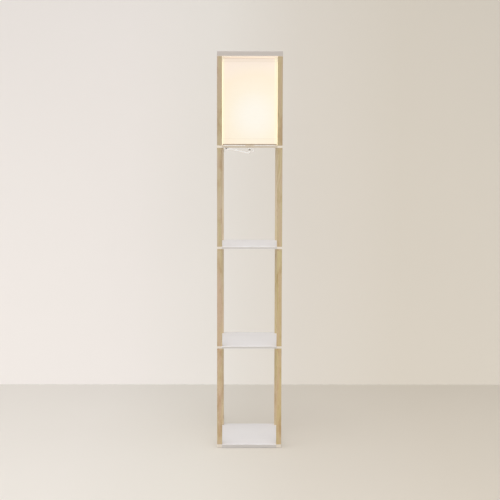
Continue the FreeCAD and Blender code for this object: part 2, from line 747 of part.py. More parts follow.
def chain():
    """A bead chain from inside the guide down through an eyelet in the shelf, with a bell to pull."""
    shelf_foot = "-shelf_thickness"
    flange_foot = "-shelf_thickness - eyelet_flange_thickness"
    eyelet = new_body("chain_eyelet")
    step(eyelet, "flange", SMALL, flange_foot, shelf_foot, "eyelet_flange")
    step(eyelet, "tube", SMALL, shelf_foot, "0", "eyelet_radius")
    bore(eyelet, "opening", SMALL, "eyelet_bore", flange_foot)
    at_lamp(eyelet, "chain_x", "chain_y")

    bead = new_body("pull_chain")
    wire = step(bead, "wire", FEW, "0", "link_length", "link_radius")
    belly_foot, belly_top = "link_length + bead_round", "bead_pitch - bead_round"
    foot = step(bead, "foot", FEW, "link_length", belly_foot, "bead_radius - bead_round")
    belly = step(bead, "belly", FEW, belly_foot, belly_top, "bead_radius")
    head = step(bead, "head", FEW, belly_top, "bead_pitch", "bead_radius - bead_round")
    row = bead.newObject("PartDesign::LinearPattern", "pull_chain_row")
    row.Originals = [wire, foot, belly, head]
    row.Direction = (bead.Origin.OriginFeatures[2], [""])
    bind(row, "Length", "chain_length - bead_pitch")
    bind(row, "Occurrences", "bead_count")
    bead.Tip = row
    put(bead, "chain_x", "chain_y", "lamp_z + chain_foot_z")
    keep(bead)

    bell = new_body("pull_bell")
    taper(
        bell,
        "skirt",
        FEW,
        ("0", "bell_radius * 0.7"),
        ("bell_length * 0.13", "bell_radius"),
        ("bell_length * 0.38", "bell_radius"),
        ("bell_length * 0.94", "bell_neck"),
        ("bell_length", "bell_neck"),
    )
    put(bell, "chain_x", "chain_y", "lamp_z + chain_foot_z - bell_length")
    keep(bell)


def bulb():
    """Screw-in bulb: contact, screw cap, tapered body and a frosted globe open towards the body."""
    contact = new_body("bulb_contact")
    taper(
        contact,
        "tip",
        SMALL,
        ("tip_z", "bulb_tip_radius * 0.6"),
        ("bulb_cap_z", "bulb_tip_radius"),
    )
    at_lamp(contact)
    cap = new_body("bulb_screw_cap")
    shoulder_z = "bulb_cap_z + bulb_cap_shoulder"
    taper(cap, "shoulder", ROUND, ("bulb_cap_z", "bulb_tip_radius + 1"), (shoulder_z, "bulb_cap_radius"))
    step(cap, "wall", ROUND, shoulder_z, "bulb_body_z", "bulb_cap_radius")
    at_lamp(cap)
    body = new_body("bulb_body")
    taper(
        body,
        "flare",
        ROUND,
        ("bulb_body_z", "bulb_body_foot"),
        ("bulb_body_z + bulb_body_height / 4", "bulb_body_foot + (globe_foot - bulb_body_foot) * 0.4"),
        ("globe_foot_z", "globe_foot"),
    )
    at_lamp(body)
    outside = new_body("globe_outside")
    taper(outside, "ball", ROUND, *globe_levels("globe_radius"))
    inside = new_body("globe_inside")
    taper(inside, "ball", ROUND, *globe_levels("(globe_radius - globe_wall)"))
    globe = document.addObject("Part::Cut", "bulb_globe")
    globe.Base, globe.Tool = outside, inside
    at_lamp(globe)


def globe_levels(radius):
    """Heights and radii up the globe, from where it is cut off to a small flat at its top."""
    levels = []
    for share in (0, 0.2, 0.4, 0.6, 0.8, 0.95):
        latitude = f"(globe_cut + (90 - globe_cut) * {share}) * 1 deg"
        levels.append((f"globe_z + {radius} * sin({latitude})", f"{radius} * cos({latitude})"))
    return levels


# ---------------------------------------------------------------- the shade

def shade_fabric():
    """A four-sided tube of fabric on its backing, open above and below."""
    body = new_body("shade_fabric")
    section = sketch_on(body, "section", "XY_Plane")
    outline(section, rectangle("shade_half_x", "shade_half_y"))
    outline(section, rectangle("shade_half_x - shade_wall", "shade_half_y - shade_wall"))
    walls = pad(body, section, "shade_height")
    document.recompute()
    reach = value("shade_half_x") - value("shade_wall") / 2

    def outer(edge):
        return upright(edge) and abs(edge.Vertexes[0].Point.x) > reach

    rounded = ease(body, walls, "shade_corner", outer, kind="Fillet")
    ease(body, rounded, "shade_corner - shade_wall", inner_corner, kind="Fillet")
    put(body, z="lamp_z + shade_lift")
    keep(body)


def inner_corner(edge):
    """An upright straight edge where both inner walls of the shade meet."""
    if not upright(edge):
        return False
    point = edge.Vertexes[0].Point
    inner_x = value("shade_half_x") - value("shade_wall")
    inner_y = value("shade_half_y") - value("shade_wall")
    return abs(abs(point.x) - inner_x) < 1e-6 and abs(abs(point.y) - inner_y) < 1e-6


def wire_square(label):
    """A square of round wire with bent corners, lying on the body's own XY plane."""
    body = new_body(label)
    path = sketch_on(body, "path", "XY_Plane")
    outline(path, rectangle("wire_half_x", "wire_half_y"))
    section = sketch_on(body, "section", "XZ_Plane")
    outline(section, polygon("wire_radius", FEW, "wire_half_x"))
    wire = body.newObject("PartDesign::AdditivePipe", f"{label}_wire")
    wire.Profile = section
    wire.Spine = path
    wire.Transition = "Round corner"
    return body


def shade_frames():
    """Upper frame: a wire square. Lower frame: a wire square, four spokes and the fitter ring."""
    at_lamp_level(wire_square("shade_upper_frame"), "upper_wire_z")
    square = wire_square("lower_wire_square")
    put(square, z="lamp_z + lower_wire_z")
    fitter = ring("fitter_ring", ROUND, "clamp_bore", "fitter_radius", "shoulder_z", "clamp_z")
    put(fitter, z="lamp_z")
    pieces = [square, fitter]
    rise = value("shoulder_z") + value("fitter_thickness") / 2 - value("lower_wire_z")
    hub = value("fitter_radius") - value("wire_radius")
    for turn, half in ((0, "wire_half_x"), (90, "wire_half_y"), (180, "wire_half_x"), (270, "wire_half_y")):
        along = Vector(hub - value(half), 0, rise)
        spoke = rod(f"shade_spoke_{turn}", FEW, "wire_radius", str(along.Length))
        outwards = FreeCAD.Rotation(Vector(0, 0, 1), turn)
        start = outwards.multVec(Vector(value(half), 0, value("lamp_z") + value("lower_wire_z")))
        lean = FreeCAD.Rotation(Vector(0, 0, 1), outwards.multVec(along))
        spoke.Placement = FreeCAD.Placement(start, lean)
        pieces.append(spoke)
    bored = document.addObject("Part::MultiFuse", "lower_frame_blank")
    bored.Shapes = pieces
    tool = rod("fitter_bore_tool", ROUND, "clamp_bore", "shell_top")
    put(tool, z="lamp_z")
    frame = document.addObject("Part::Cut", "shade_lower_frame")
    frame.Base, frame.Tool = bored, tool
    keep(frame)
    clamp_top = "clamp_z + clamp_height"
    clamp = ring("shade_clamp_ring", ROUND, "clamp_bore", "clamp_bore + clamp_wall", "clamp_z", clamp_top)
    at_lamp(clamp)


def at_lamp_level(body, level):
    put(body, z=f"lamp_z + {level}")
    return keep(body)


# ---------------------------------------------------------------- the cord

CORD_SIDES = 6


def arc(start, bend, end):
    """The arc that leaves start towards bend and arrives at end from bend, both equally far away."""
    middle = (start + end) * 0.5
    half_turn = (bend - start).getAngle(end - bend) / 2
    reach = (bend - start).Length
    sagitta = reach / math.tan(half_turn) * (1 - math.cos(half_turn))
    crown = middle + (bend - middle).normalize() * sagitta
    return Part.Arc(start, crown, end).toShape()


def corner_radius(before, bend, after):
    """0.45 of the shorter run, divided by the tangent of half the turn."""
    shorter = min((bend - before).Length, (after - bend).Length)
    half_turn = (bend - before).getAngle(after - bend) / 2
    return 0.45 * shorter / math.tan(half_turn), 0.45 * shorter


def rounded_path(points):
    """Straight runs between the points, joined by tangent arcs. Also gives the arcs' radii."""
    edges, radii = [], []
    here = points[0]
    for before, bend, after in zip(points, points[1:], points[2:]):
        radius, reach = corner_radius(before, bend, after)
        radii.append(radius)
        start = bend + (before - bend).normalize() * reach
        end = bend + (after - bend).normalize() * reach
        edges.append(Part.LineSegment(here, start).toShape())
        edges.append(arc(start, bend, end))
        here = end
    edges.append(Part.LineSegment(here, points[-1]).toShape())
    return edges, radii


def cord_tube(label, edges):
    """A tube of many flat sides along the edges, its volume compared with section times length."""
    path = Part.Wire(edges)
    start = edges[0].valueAt(edges[0].FirstParameter)
    along = edges[0].tangentAt(edges[0].FirstParameter)
    radius = value("cord_radius")
    flat = FreeCAD.Placement(start, FreeCAD.Rotation(Vector(0, 0, 1), along))
    turn = 2 * math.pi / CORD_SIDES
    rim = [Vector(math.cos(turn * i), math.sin(turn * i), 0) * radius for i in range(CORD_SIDES)]
    section = Part.makePolygon([flat.multVec(p) for p in rim + rim[:1]])
    tube = path.makePipeShell([section], True, False)
    area = CORD_SIDES / 2 * radius ** 2 * math.sin(turn)
    share = tube.Volume / (area * path.Length)
    print(f"{label}: length {path.Length:.1f}, volume {share:.4f} of section times length")
    if abs(share - 1) > 0.01:
        raise ValueError(f"{label} doesn't fill its path")
    feature = document.addObject("Part::Feature", label)
    feature.Shape = tube
    keep(feature, label)
    return path


def free_cord(label, points):
    edges, radii = rounded_path(points)
    print(f"{label}: arcs' radii " + ", ".join(f"{r:.1f}" for r in radii))
    return cord_tube(label, edges)


def swag_points():
    """From the strain relief, round a tight fold, up to the clip near the rear left post."""
    out = value("exit_z")
    clip = value("cord_shelf_z")
    return [
        Vector(0, 0, out),
        Vector(0, 0, out - 4.6),
        Vector(-2.4, 2.2, out - 8.0),
        Vector(-6.8, 6.6, out - 9.0),
        Vector(-14.5, 13.5, out - 8.2),
        Vector(-26.5, 26.0, out - 5.2),
        Vector(-46.0, 42.0, out - 1.0),
        Vector(-66.5, 57.0, clip - 2.6),
        Vector(-81.5, 69.5, clip - 0.6),
        Vector(-91.9, 82.7, clip),
        Vector(-96.0, 94.0, clip),
    ]


def post_run_points():
    """From that clip out behind the frame, and down the back of the post to the top of the hank."""
    clip = value("cord_shelf_z")
    x, y = value("cord_post_x"), value("cord_post_y")
    hank_x, hank_y = value("hank_near_x"), value("hank_near_y")
    head, low = value("hank_head_z") + 2 * value("cord_radius"), value("lower_clip_z")
    return [
        Vector(-96.0, 94.0, clip),
        Vector(-102.3, 111.4, clip),
        Vector(-105.6, 127.5, clip - 2.6),
        Vector(-108.6, 139.0, clip - 13.5),
        Vector(-113.6, 144.6, clip - 30.0),
        Vector(-119.2, 142.6, clip - 51.0),
        Vector(-123.0, y + 2.6, clip - 77.0),
        Vector(x, y, clip - 106.0),
        Vector(x, y, low - 20),
        Vector(x - 3.0, y + 0.4, low - 46),
        Vector(hank_x + 1.4, hank_y - 0.2, low - 74),
        Vector(hank_x, hank_y, head + 14),
        Vector(hank_x, hank_y, head),
    ]


def biarc(start, start_way, end, end_way):
    """Two tangent arcs from one point and direction to another."""
    chord = end - start
    both = start_way + end_way
    spread = 2 * (1 - start_way.dot(end_way))
    if spread < 1e-9:
        reach = chord.dot(chord) / (4 * chord.dot(end_way))
    else:
        lean = chord.dot(both)
        reach = (math.sqrt(lean ** 2 + spread * chord.dot(chord)) - lean) / spread
    first, second = start + start_way * reach, end - end_way * reach
    joint = (first + second) * 0.5
    return [arc(start, first, joint), arc(joint, second, end)]


def hank_edges():
    """Loops of two long runs and two folds. Each run is drawn in at the waist, and each far run climbs
    one pitch across, so that the loops lie side by side. Both ends run straight for a diameter."""
    near, far = value("hank_near_y"), value("hank_far_y")
    foot, head = value("hank_foot_z"), value("hank_head_z")
    waist, draw = (foot + head) / 2, value("hank_draw")
    pitch, straight = value("hank_pitch"), 2 * value("cord_radius")
    down, up = Vector(0, 0, -1), Vector(0, 0, 1)
    climb = Vector(pitch, 0, head - foot).normalize()
    x = value("hank_near_x")
    edges = [Part.LineSegment(Vector(x, near, head + straight), Vector(x, near, head)).toShape()]
    for _ in range(int(value("hank_loops"))):
        middle = x + pitch / 2
        edges += biarc(Vector(x, near, head), down, Vector(x, near + draw, waist), down)
        edges += biarc(Vector(x, near + draw, waist), down, Vector(x, near, foot), down)
        edges += biarc(Vector(x, near, foot), down, Vector(x, far, foot), up)
        edges += biarc(Vector(x, far, foot), up, Vector(middle, far - draw, waist), climb)
        x += pitch
        edges += biarc(Vector(middle, far - draw, waist), climb, Vector(x, far, head), up)
        edges += biarc(Vector(x, far, head), up, Vector(x, near, head), down)
    edges += biarc(Vector(x, near, head), down, Vector(x, near + draw, waist), down)
    edges += biarc(Vector(x, near + draw, waist), down, Vector(x, near, foot), down)
    centre, floor = value("hank_centre_y"), foot - value("hank_fold")
    quarter = biarc(Vector(x, near, foot), down, Vector(x, centre, floor), Vector(0, 1, 0))
    edges += quarter
    edges.append(Part.LineSegment(Vector(x, centre, floor), Vector(x, centre + straight, floor)).toShape())
    return edges


def least_gap(path, step=4.0, apart=25.0):
    """The least clear space between two stretches of the cord, measured on points along it."""
    points = path.discretize(Distance=step)
    skip = int(apart / step)
    nearest = min(
        points[i].distanceToPoint(points[j])
        for i in range(len(points))
        for j in range(i + skip, len(points))
    )
    return nearest - 2 * value("cord_radius")


def tail_points():
    """From the foot of the hank along the floor to the plug."""
    x, z = value("hank_end_x"), value("hank_foot_z") - value("hank_fold")
    y = value("hank_centre_y") + 2 * value("cord_radius")
    plug_z = value("plug_height") / 2 + value("hank_floor_gap")
    return [
        Vector(x, y, z),
        Vector(x, y + 9, z),
        Vector(x - 3.0, y + 20, z + 1.0),
        Vector(x - 6.8, y + 31, z + 2.9),
        Vector(x - 8.8, y + 42, plug_z),
        Vector(x - 8.8, y + 51, plug_z),
    ]


def cord():
    """The whole cord: inside the nipple, the swag, down the post, the hank and the tail."""
    lead = rod("cord_lead_in", CORD_SIDES, "cord_radius", "lamp_z + nipple_above - exit_z")
    put(lead, z="exit_z")
    keep(lead)
    free_cord("cord_swag", swag_points())
    free_cord("cord_post_run", post_run_points())
    hank = cord_tube("cord_hank", hank_edges())
    print(f"cord_hank: least gap to itself {least_gap(hank):.2f}")
    free_cord("cord_tail", tail_points())


def conductors():
    """Two insulated conductors that leave the cord's end and go out to the terminal screws."""
    rise = value("shell_foot") - value("nipple_above") - value("conductor_radius") - 0.2
    radius = value("conductor_radius")
    start = radius + 0.3
    solids = []
    for side in (-1, 1):
        foot = Vector(side * start, 0, 0)
        bend = Vector(side * start, 0, rise)
        tip = Vector(side * (value("terminal_reach") - value("terminal_head_radius") - 0.1), 0, rise)
        reach = min(rise, abs(tip.x - bend.x)) * 0.45
        level = bend + Vector(side * reach, 0, 0)
        edges = [
            Part.LineSegment(foot, Vector(foot.x, 0, rise - reach)).toShape(),
            arc(Vector(foot.x, 0, rise - reach), bend, level),
            Part.LineSegment(level, tip).toShape(),
        ]
        turn = 2 * math.pi / CORD_SIDES
        rim = [Vector(math.cos(turn * i), math.sin(turn * i), 0) * radius for i in range(CORD_SIDES)]
        section = Part.makePolygon([foot + p for p in rim + rim[:1]])
        solids.append(Part.Wire(edges).makePipeShell([section], True, False))
    feature = document.addObject("Part::Feature", "conductors")
    feature.Shape = Part.makeCompound(solids)
    put(feature, z="lamp_z + nipple_above")
    keep(feature)


def strain_relief():
    """A bush with its shank in the nipple, a flange under it, and a taper down to the cord."""
    body = new_body("cord_strain_relief")
    flange_top = "relief_taper + relief_flange"
    taper(body, "taper", SMALL, ("0", "relief_tip"), ("relief_taper", "relief_root"))
    step(body, "flange", SMALL, "relief_taper", flange_top, "relief_flange_radius")
    step(body, "shank", SMALL, flange_top, f"{flange_top} + relief_shank", "nipple_bore - fit_gap")
    bore(body, "cord_hole", SMALL, "cord_radius + fit_gap", "0")
    put(body, z="exit_z")
    keep(body)


def clip_template():
    """A snap-in clip about its own Z axis: a plate on its -Y side and a hook round the cord."""
    body = new_body("clip_template")
    plate = sketch_on(body, "plate", "XY_Plane")
    back, face = "-clip_stand_off", "-clip_bore"
    half = "clip_width / 2"
    outline(plate, [(f"-{half}", back), (half, back), (half, face), (f"-{half}", face)])
    pad(body, plate, "clip_length", midplane=True)
    hook = sketch_on(body, "hook", "XY_Plane")
    outline(hook, polygon("clip_bore + clip_wall", SMALL))
    pad(body, hook, "clip_length", midplane=True)
    hollow = sketch_on(body, "hollow", "XY_Plane")
    outline(hollow, polygon("clip_bore", SMALL))
    cut = pocket(body, hollow)
    cut.Midplane = True
    mouth = sketch_on(body, "mouth", "XY_Plane")
    slit = "clip_slit / 2"
    reach = "clip_bore + 2 * clip_wall"
    outline(mouth, [(f"-{slit}", "0"), (slit, "0"), (slit, reach), (f"-{slit}", reach)])
    cut = pocket(body, mouth)
    cut.Midplane = True
    return body


def clips():
    """Three clips down the back of the rear left post, and one under the lamp shelf."""
    template = clip_template()
    levels = ("upper_clip_z", "middle_clip_z", "lower_clip_z")
    group("post_cord_clips", [(template, "cord_post_x", "cord_post_y", z) for z in levels])
    before, here = swag_points()[-2:]
    along = (here - before).normalize()
    down = Vector(0, 0, -1)
    link = document.addObject("App::Link", "shelf_clip_link")
    link.LinkedObject = template
    turn = FreeCAD.Rotation(down.cross(along), down, along, "ZYX")
    link.Placement = FreeCAD.Placement(here, turn)
    bind(link, "Placement.Base.z", "cord_shelf_z")
    clip = document.addObject("Part::Compound", "shelf_cord_clip")
    clip.Links = [link]
    keep(clip)


def cord_tie():
    """A flat band round all the runs of the hank at its waist."""
    body = new_body("cord_tie")
    section = sketch_on(body, "section", "XY_Plane")
    half_x = "hank_loops * hank_pitch / 2 + cord_radius + tie_gap"
    half_y = "hank_fold - hank_draw + cord_radius + tie_gap"
    outline(section, rectangle(half_x, half_y))
    outline(section, rectangle(f"{half_x} + tie_thickness", f"{half_y} + tie_thickness"))
    pad(body, section, "tie_height", midplane=True)
    x = "hank_near_x + hank_loops * hank_pitch / 2"
    put(body, x, "hank_centre_y", "hank_foot_z + hank_run / 2")
    keep(body)


def plug():
    """A moulded plug on the floor behind the hank: strain relief, body and two blades."""
    end = tail_points()[-1]
    body = new_body("plug_body")
    plan = sketch_on(body, "plan", "XY_Plane")
    neck, half, shoulder = "plug_neck_width / 2", "plug_width / 2", "plug_length * 0.4"
    outline(
        plan,
        [
            (f"-{neck}", "0"),
            (neck, "0"),
            (half, shoulder),
            (half, "plug_length"),
            (f"-{half}", "plug_length"),
            (f"-{half}", shoulder),
        ],
    )
    block = pad(body, plan, "plug_height", midplane=True)
    ease(body, block, "plug_edge", lambda edge: edge.BoundBox.YLength > 1)
    tip, root = ("plug_relief_length", "plug_relief_tip"), ("0", "plug_relief_root")
    taper(body, "relief", SMALL, root, tip, role="XZ_Plane")
    put(body, str(end.x), f"{end.y} + plug_relief_length", str(end.z))
    keep(body)

    blade = new_body("blade_template")
    side = sketch_on(blade, "side", "YZ_Plane")
    half, inset = "blade_width / 2", "blade_width / 5"
    outline(
        side,
        [
            ("0", f"-{half}"),
            (f"blade_length - {inset}", f"-{half}"),
            ("blade_length", f"-{half} + {inset}"),
            ("blade_length", f"{half} - {inset}"),
            (f"blade_length - {inset}", half),
            ("0", half),
        ],
    )
    outline(side, polygon("blade_hole", FEW, "blade_length - blade_hole_inset"))
    pad(blade, side, "blade_thickness", midplane=True)
    y = f"{end.y} + plug_relief_length + plug_length"
    members = [(blade, f"{end.x} {sign} blade_spacing / 2", y, str(end.z)) for sign in "-+"]
    group("plug_blades", members)


# ---------------------------------------------------------------- build, check and write

def check():
    """Every object recomputed, every cut removed something, every sub-part a valid solid."""
    for thing in document.Objects:
        if {"Invalid", "Error"} & set(thing.State):
            raise ValueError(f"{thing.Name} failed: {thing.State}")
        if thing.TypeId in ("PartDesign::Pocket", "PartDesign::Hole"):
            if thing.Shape.Volume > thing.BaseFeature.Shape.Volume - 1e-3:
                raise ValueError(f"{thing.Name} cuts nothing")
    for node in nodes:
        shape = node.Shape
        if shape.isNull() or not shape.isValid() or not shape.Solids:
            raise ValueError(f"{node.Label} has no valid solid")


def write():
    os.makedirs("parts", exist_ok=True)
    for node in nodes:
        node.Shape.exportStep(f"parts/{node.Label}.step")
    print(f"{len(nodes)} nodes")


base_board()
shelves()
top_board()
posts()
hanger_bolts()
threaded_inserts()
base_bolts()
foot_pads()
nipple_and_nuts()
socket_cap()
socket_shell_and_liner()
socket_body_and_contacts()
chain_guide()
chain()
bulb()
shade_fabric()
shade_frames()
strain_relief()
cord()
conductors()
clips()
cord_tie()
plug()
document.recompute()
check()
write()
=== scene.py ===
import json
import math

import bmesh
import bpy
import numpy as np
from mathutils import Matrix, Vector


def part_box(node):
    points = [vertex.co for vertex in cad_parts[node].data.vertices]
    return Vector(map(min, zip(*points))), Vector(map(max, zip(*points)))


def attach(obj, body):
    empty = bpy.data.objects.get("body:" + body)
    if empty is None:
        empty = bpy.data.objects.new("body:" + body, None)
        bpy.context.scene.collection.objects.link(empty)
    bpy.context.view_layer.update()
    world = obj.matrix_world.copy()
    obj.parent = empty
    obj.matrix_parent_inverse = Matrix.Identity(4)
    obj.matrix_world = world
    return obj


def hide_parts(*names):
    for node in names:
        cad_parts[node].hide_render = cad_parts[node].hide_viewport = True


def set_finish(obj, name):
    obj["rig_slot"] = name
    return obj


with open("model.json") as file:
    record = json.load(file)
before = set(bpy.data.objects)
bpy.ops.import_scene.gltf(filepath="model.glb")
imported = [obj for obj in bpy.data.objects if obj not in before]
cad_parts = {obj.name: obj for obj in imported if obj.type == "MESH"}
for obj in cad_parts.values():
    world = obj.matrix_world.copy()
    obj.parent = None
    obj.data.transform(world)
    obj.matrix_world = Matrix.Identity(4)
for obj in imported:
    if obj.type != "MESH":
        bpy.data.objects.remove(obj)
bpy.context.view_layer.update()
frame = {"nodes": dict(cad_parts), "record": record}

# %% [markdown]
# # A shelf lamp with a lit fabric shade
#
# The imported model is already in place: 59 named pieces, in metres, with the floor at z = 0, the front
# at -Y and the origin under the middle of the lamp. This lesson dresses it for a picture.
#
# 1. the camera
# 2. the cord, the one long free form
# 3. surfaces written as formulas: the shade, the bulb, the chain, the plug, the strain relief
# 4. materials: wood, painted board, linen, metal, plastic
# 5. floor, wall and lights
#
# A piece of the imported model keeps its place and its mesh. It either gets a better material or is
# replaced by a finer form that stays where it was.

scene = bpy.context.scene
nodes = frame["nodes"]

# %% [markdown]
# ## The camera
#
# The places of the board corners in the photograph fix the camera: it stands 3.48 m in front of the
# lamp at the height of the lamp shelf, looks down by less than four degrees, and the upright lines
# stay upright because the frame is shifted and not the camera tilted further.
#
# Three unit vectors make the camera's matrix: right, up, and backwards, which is minus the line of
# sight. Roll turns right and up about the line of sight.

# %% Camera
CAMERA_PLACE = Vector((-0.0129, -3.4792, 1.2253))
PITCH_DOWN = 0.0666
YAW_RIGHT = 0.0043
ROLL = 0.0021
FOCAL_PIXELS = 841.8
PRINCIPAL_ROW = 202.455
IMAGE_PIXELS = 500
SENSOR = 36.0


def camera_axes(pitch, yaw, roll):
    """Right, up and backward vectors: level ones turned by yaw, tipped by pitch, then rolled."""
    level_right = Vector((math.cos(yaw), -math.sin(yaw), 0))
    level_ahead = Vector((math.sin(yaw), math.cos(yaw), 0))
    ahead = level_ahead * math.cos(pitch) - Vector((0, 0, 1)) * math.sin(pitch)
    up = level_ahead * math.sin(pitch) + Vector((0, 0, 1)) * math.cos(pitch)
    right = level_right * math.cos(roll) + up * math.sin(roll)
    return right, up * math.cos(roll) - level_right * math.sin(roll), -ahead


camera = bpy.data.objects.new("camera", bpy.data.cameras.new("camera"))
scene.collection.objects.link(camera)
scene.camera = camera
camera.matrix_world = Matrix.Translation(CAMERA_PLACE) @ Matrix(
    camera_axes(PITCH_DOWN, YAW_RIGHT, ROLL)
).transposed().to_4x4()
camera.data.sensor_width = SENSOR
camera.data.lens = SENSOR * FOCAL_PIXELS / IMAGE_PIXELS
camera.data.shift_y = (PRINCIPAL_ROW - IMAGE_PIXELS / 2) / IMAGE_PIXELS
camera.data.clip_end = 50
print(f"lens {camera.data.lens:.2f} mm, shift {camera.data.shift_y:.4f}")

# %% [markdown]
# ## The cord
#
# One round white cord, 5 mm thick. It leaves the strain relief under the lamp shelf, turns at once
# towards the rear left corner, sags a little on its way to the clip there, steps out behind the
# frame and goes down the back of the post. The length left over stands in a hank behind the post's
# foot, tied at its waist, and the plug lies on the floor behind it.
#
# The line is a quadratic NURBS curve. It touches its control polygon at the middle of each leg, so
# the corners of a regular octagon drawn round a circle give that circle: four corners make each fold
# of the hank. At the waist, three quarters of a control point's offset reaches the curve.

# %% Cord: the route's control points, in metres
CORD_RADIUS = 0.0025
EXIT = (0.0, 0.0, 1.2083)

swag = [
    EXIT,
    (0.0000, 0.0000, 1.2037),
    (-0.0024, 0.0022, 1.2003),
    (-0.0068, 0.0066, 1.1993),
    (-0.0145, 0.0135, 1.2001),
    (-0.0265, 0.0260, 1.2031),
    (-0.0460, 0.0420, 1.2073),
    (-0.0665, 0.0570, 1.2122),
    (-0.0815, 0.0695, 1.2142),
    (-0.0919, 0.0827, 1.2148),
    (-0.0960, 0.0940, 1.2148),
]
down_the_post = [
    (-0.1023, 0.1114, 1.2148),
    (-0.1056, 0.1275, 1.2122),
    (-0.1086, 0.1390, 1.2013),
    (-0.1136, 0.1446, 1.1848),
    (-0.1192, 0.1426, 1.1638),
    (-0.1230, 0.1368, 1.1378),
    (-0.1240, 0.1342, 1.1088),
    (-0.1240, 0.1342, 0.2150),
    (-0.1270, 0.1346, 0.1890),
    (-0.1306, 0.1353, 0.1610),
    (-0.1320, 0.1355, 0.1405),
]
tail = [
    (-0.1149, 0.1560, 0.0030),
    (-0.1149, 0.1650, 0.0030),
    (-0.1179, 0.1760, 0.0040),
    (-0.1217, 0.1870, 0.0059),
    (-0.1237, 0.1980, 0.0080),
    (-0.1237, 0.2070, 0.0080),
]
print(f"{len(swag)} + {len(down_the_post)} + {len(tail)} points outside the hank")

# %% Cord: the hank
HANK_X = -0.1320
HANK_PITCH = 0.0057
HANK_LOOPS = 3
FOLD = 0.0155
NEAR_Y = 0.1355
FOOT_Z = 0.0185
HEAD_Z = 0.1085
WAIST_Z = 0.0635
WAIST_DRAW = 0.0084


def fold_corners(x, centre_z, first_angle):
    """Four corners of the octagon round a fold, from its near side to its far side or back."""
    corner_radius = FOLD / math.cos(math.pi / 8)
    turn = np.sign(first_angle) if first_angle else 1
    angles = first_angle + turn * np.radians([22.5, 67.5, 112.5, 157.5])
    y = NEAR_Y + FOLD - corner_radius * np.cos(angles)
    z = centre_z - corner_radius * np.sin(angles) * turn
    return np.column_stack([np.full(4, x), y, z])


def hank_points():
    """Each loop: down the near side, round the foot, up the far side and one pitch across, round
    the head. Both sides are drawn in at the waist by two points close together."""
    half_tie = 0.008
    points = []
    for loop in range(HANK_LOOPS + 1):
        x = HANK_X + loop * HANK_PITCH
        near = NEAR_Y + WAIST_DRAW
        points += [(x, near, WAIST_Z + half_tie), (x, near, WAIST_Z - half_tie)]
        if loop == HANK_LOOPS:
            break
        far = NEAR_Y + 2 * FOLD - WAIST_DRAW
        across = x + HANK_PITCH / 2
        foot = fold_corners(x, FOOT_Z, 0.0)
        head = fold_corners(x + HANK_PITCH, HEAD_Z, 0.0)
        head[:, 2] = 2 * HEAD_Z - head[:, 2]
        points += foot.tolist()
        points += [(across, far, WAIST_Z - half_tie), (across, far, WAIST_Z + half_tie)]
        points += head[::-1].tolist()
    last = fold_corners(x, FOOT_Z, 0.0)[:2]
    return points + last.tolist()


def cord_curve(name, points, radius):
    """A round cord along an open quadratic NURBS curve. The bevel is a unit circle, and each point's
    own radius scales it, so the curve's box is the cord's box."""
    curve = bpy.data.curves.new(name, "CURVE")
    curve.dimensions = "3D"
    spline = curve.splines.new("NURBS")
    spline.points.add(len(points) - 1)
    spline.points.foreach_set("co", np.column_stack([points, np.ones(len(points))]).ravel())
    spline.points.foreach_set("radius", np.full(len(points), radius))
    spline.order_u = 3
    spline.use_endpoint_u = True
    spline.resolution_u = 8
    curve.bevel_depth = 1.0
    curve.bevel_resolution = 5
    curve.use_fill_caps = True
    piece = bpy.data.objects.new(name, curve)
    scene.collection.objects.link(piece)
    return piece


cord = cord_curve("mains_cord", swag + down_the_post + hank_points() + tail, CORD_RADIUS)
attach(cord, "lamp_frame")
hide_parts("cord_swag", "cord_post_run", "cord_hank", "cord_tail")
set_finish(cord, "cord_jacket")
print(f"cord of {len(cord.data.splines[0].points)} control points")

# %% [markdown]
# ## Surfaces written as formulas
#
# Two tools make every new piece. `surface` takes a grid of points, one row after another, and joins
# neighbours with four-sided faces. `lathe` turns an outline of radii and heights about the Z axis.

# %% Tools: grid surface and lathe
def new_piece(name, mesh, body="lamp_frame", smooth_angle=40):
    """An object for the mesh, smooth except across edges sharper than the angle."""
    mesh.validate()
    mesh.shade_smooth()
    mesh.set_sharp_from_angle(angle=math.radians(smooth_angle))
    piece = bpy.data.objects.new(name, mesh)
    scene.collection.objects.link(piece)
    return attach(piece, body)


def grid_faces(rows, columns, wrap_rows, wrap_columns):
    """Corner numbers of the faces between neighbouring points of a grid."""
    r = np.arange(rows if wrap_rows else rows - 1)[:, None]
    c = np.arange(columns if wrap_columns else columns - 1)[None, :]
    r2, c2 = (r + 1) % rows, (c + 1) % columns
    corners = [r * columns + c, r * columns + c2, r2 * columns + c2, r2 * columns + c]
    return np.stack(np.broadcast_arrays(*corners), axis=-1).reshape(-1, 4)


def surface(name, points, wrap_rows=False, wrap_columns=True):
    """A mesh over a grid of points of shape (rows, columns, 3). Points that coincide are welded."""
    rows, columns = points.shape[:2]
    faces = grid_faces(rows, columns, wrap_rows, wrap_columns)
    mesh = bpy.data.meshes.new(name)
    mesh.from_pydata(points.reshape(-1, 3), [], faces)
    work = bmesh.new()
    work.from_mesh(mesh)
    bmesh.ops.remove_doubles(work, verts=work.verts, dist=1e-6)
    bmesh.ops.recalc_face_normals(work, faces=work.faces)
    work.to_mesh(mesh)
    work.free()
    return mesh


def lathe_points(outline, centre=(0, 0, 0), around=48):
    """Points of a turned form: each (radius, height) of the outline goes round the Z axis."""
    outline = np.asarray(outline, float)
    angle = np.linspace(0, 2 * np.pi, around, endpoint=False)
    x = outline[:, :1] * np.cos(angle)
    y = outline[:, :1] * np.sin(angle)
    z = np.broadcast_to(outline[:, 1:], x.shape)
    return np.stack([x, y, z], axis=-1) + np.asarray(centre)


def lathe(name, outline, centre=(0, 0, 0), around=48):
    return surface(name, lathe_points(outline, centre, around))


print("tools: surface, lathe")

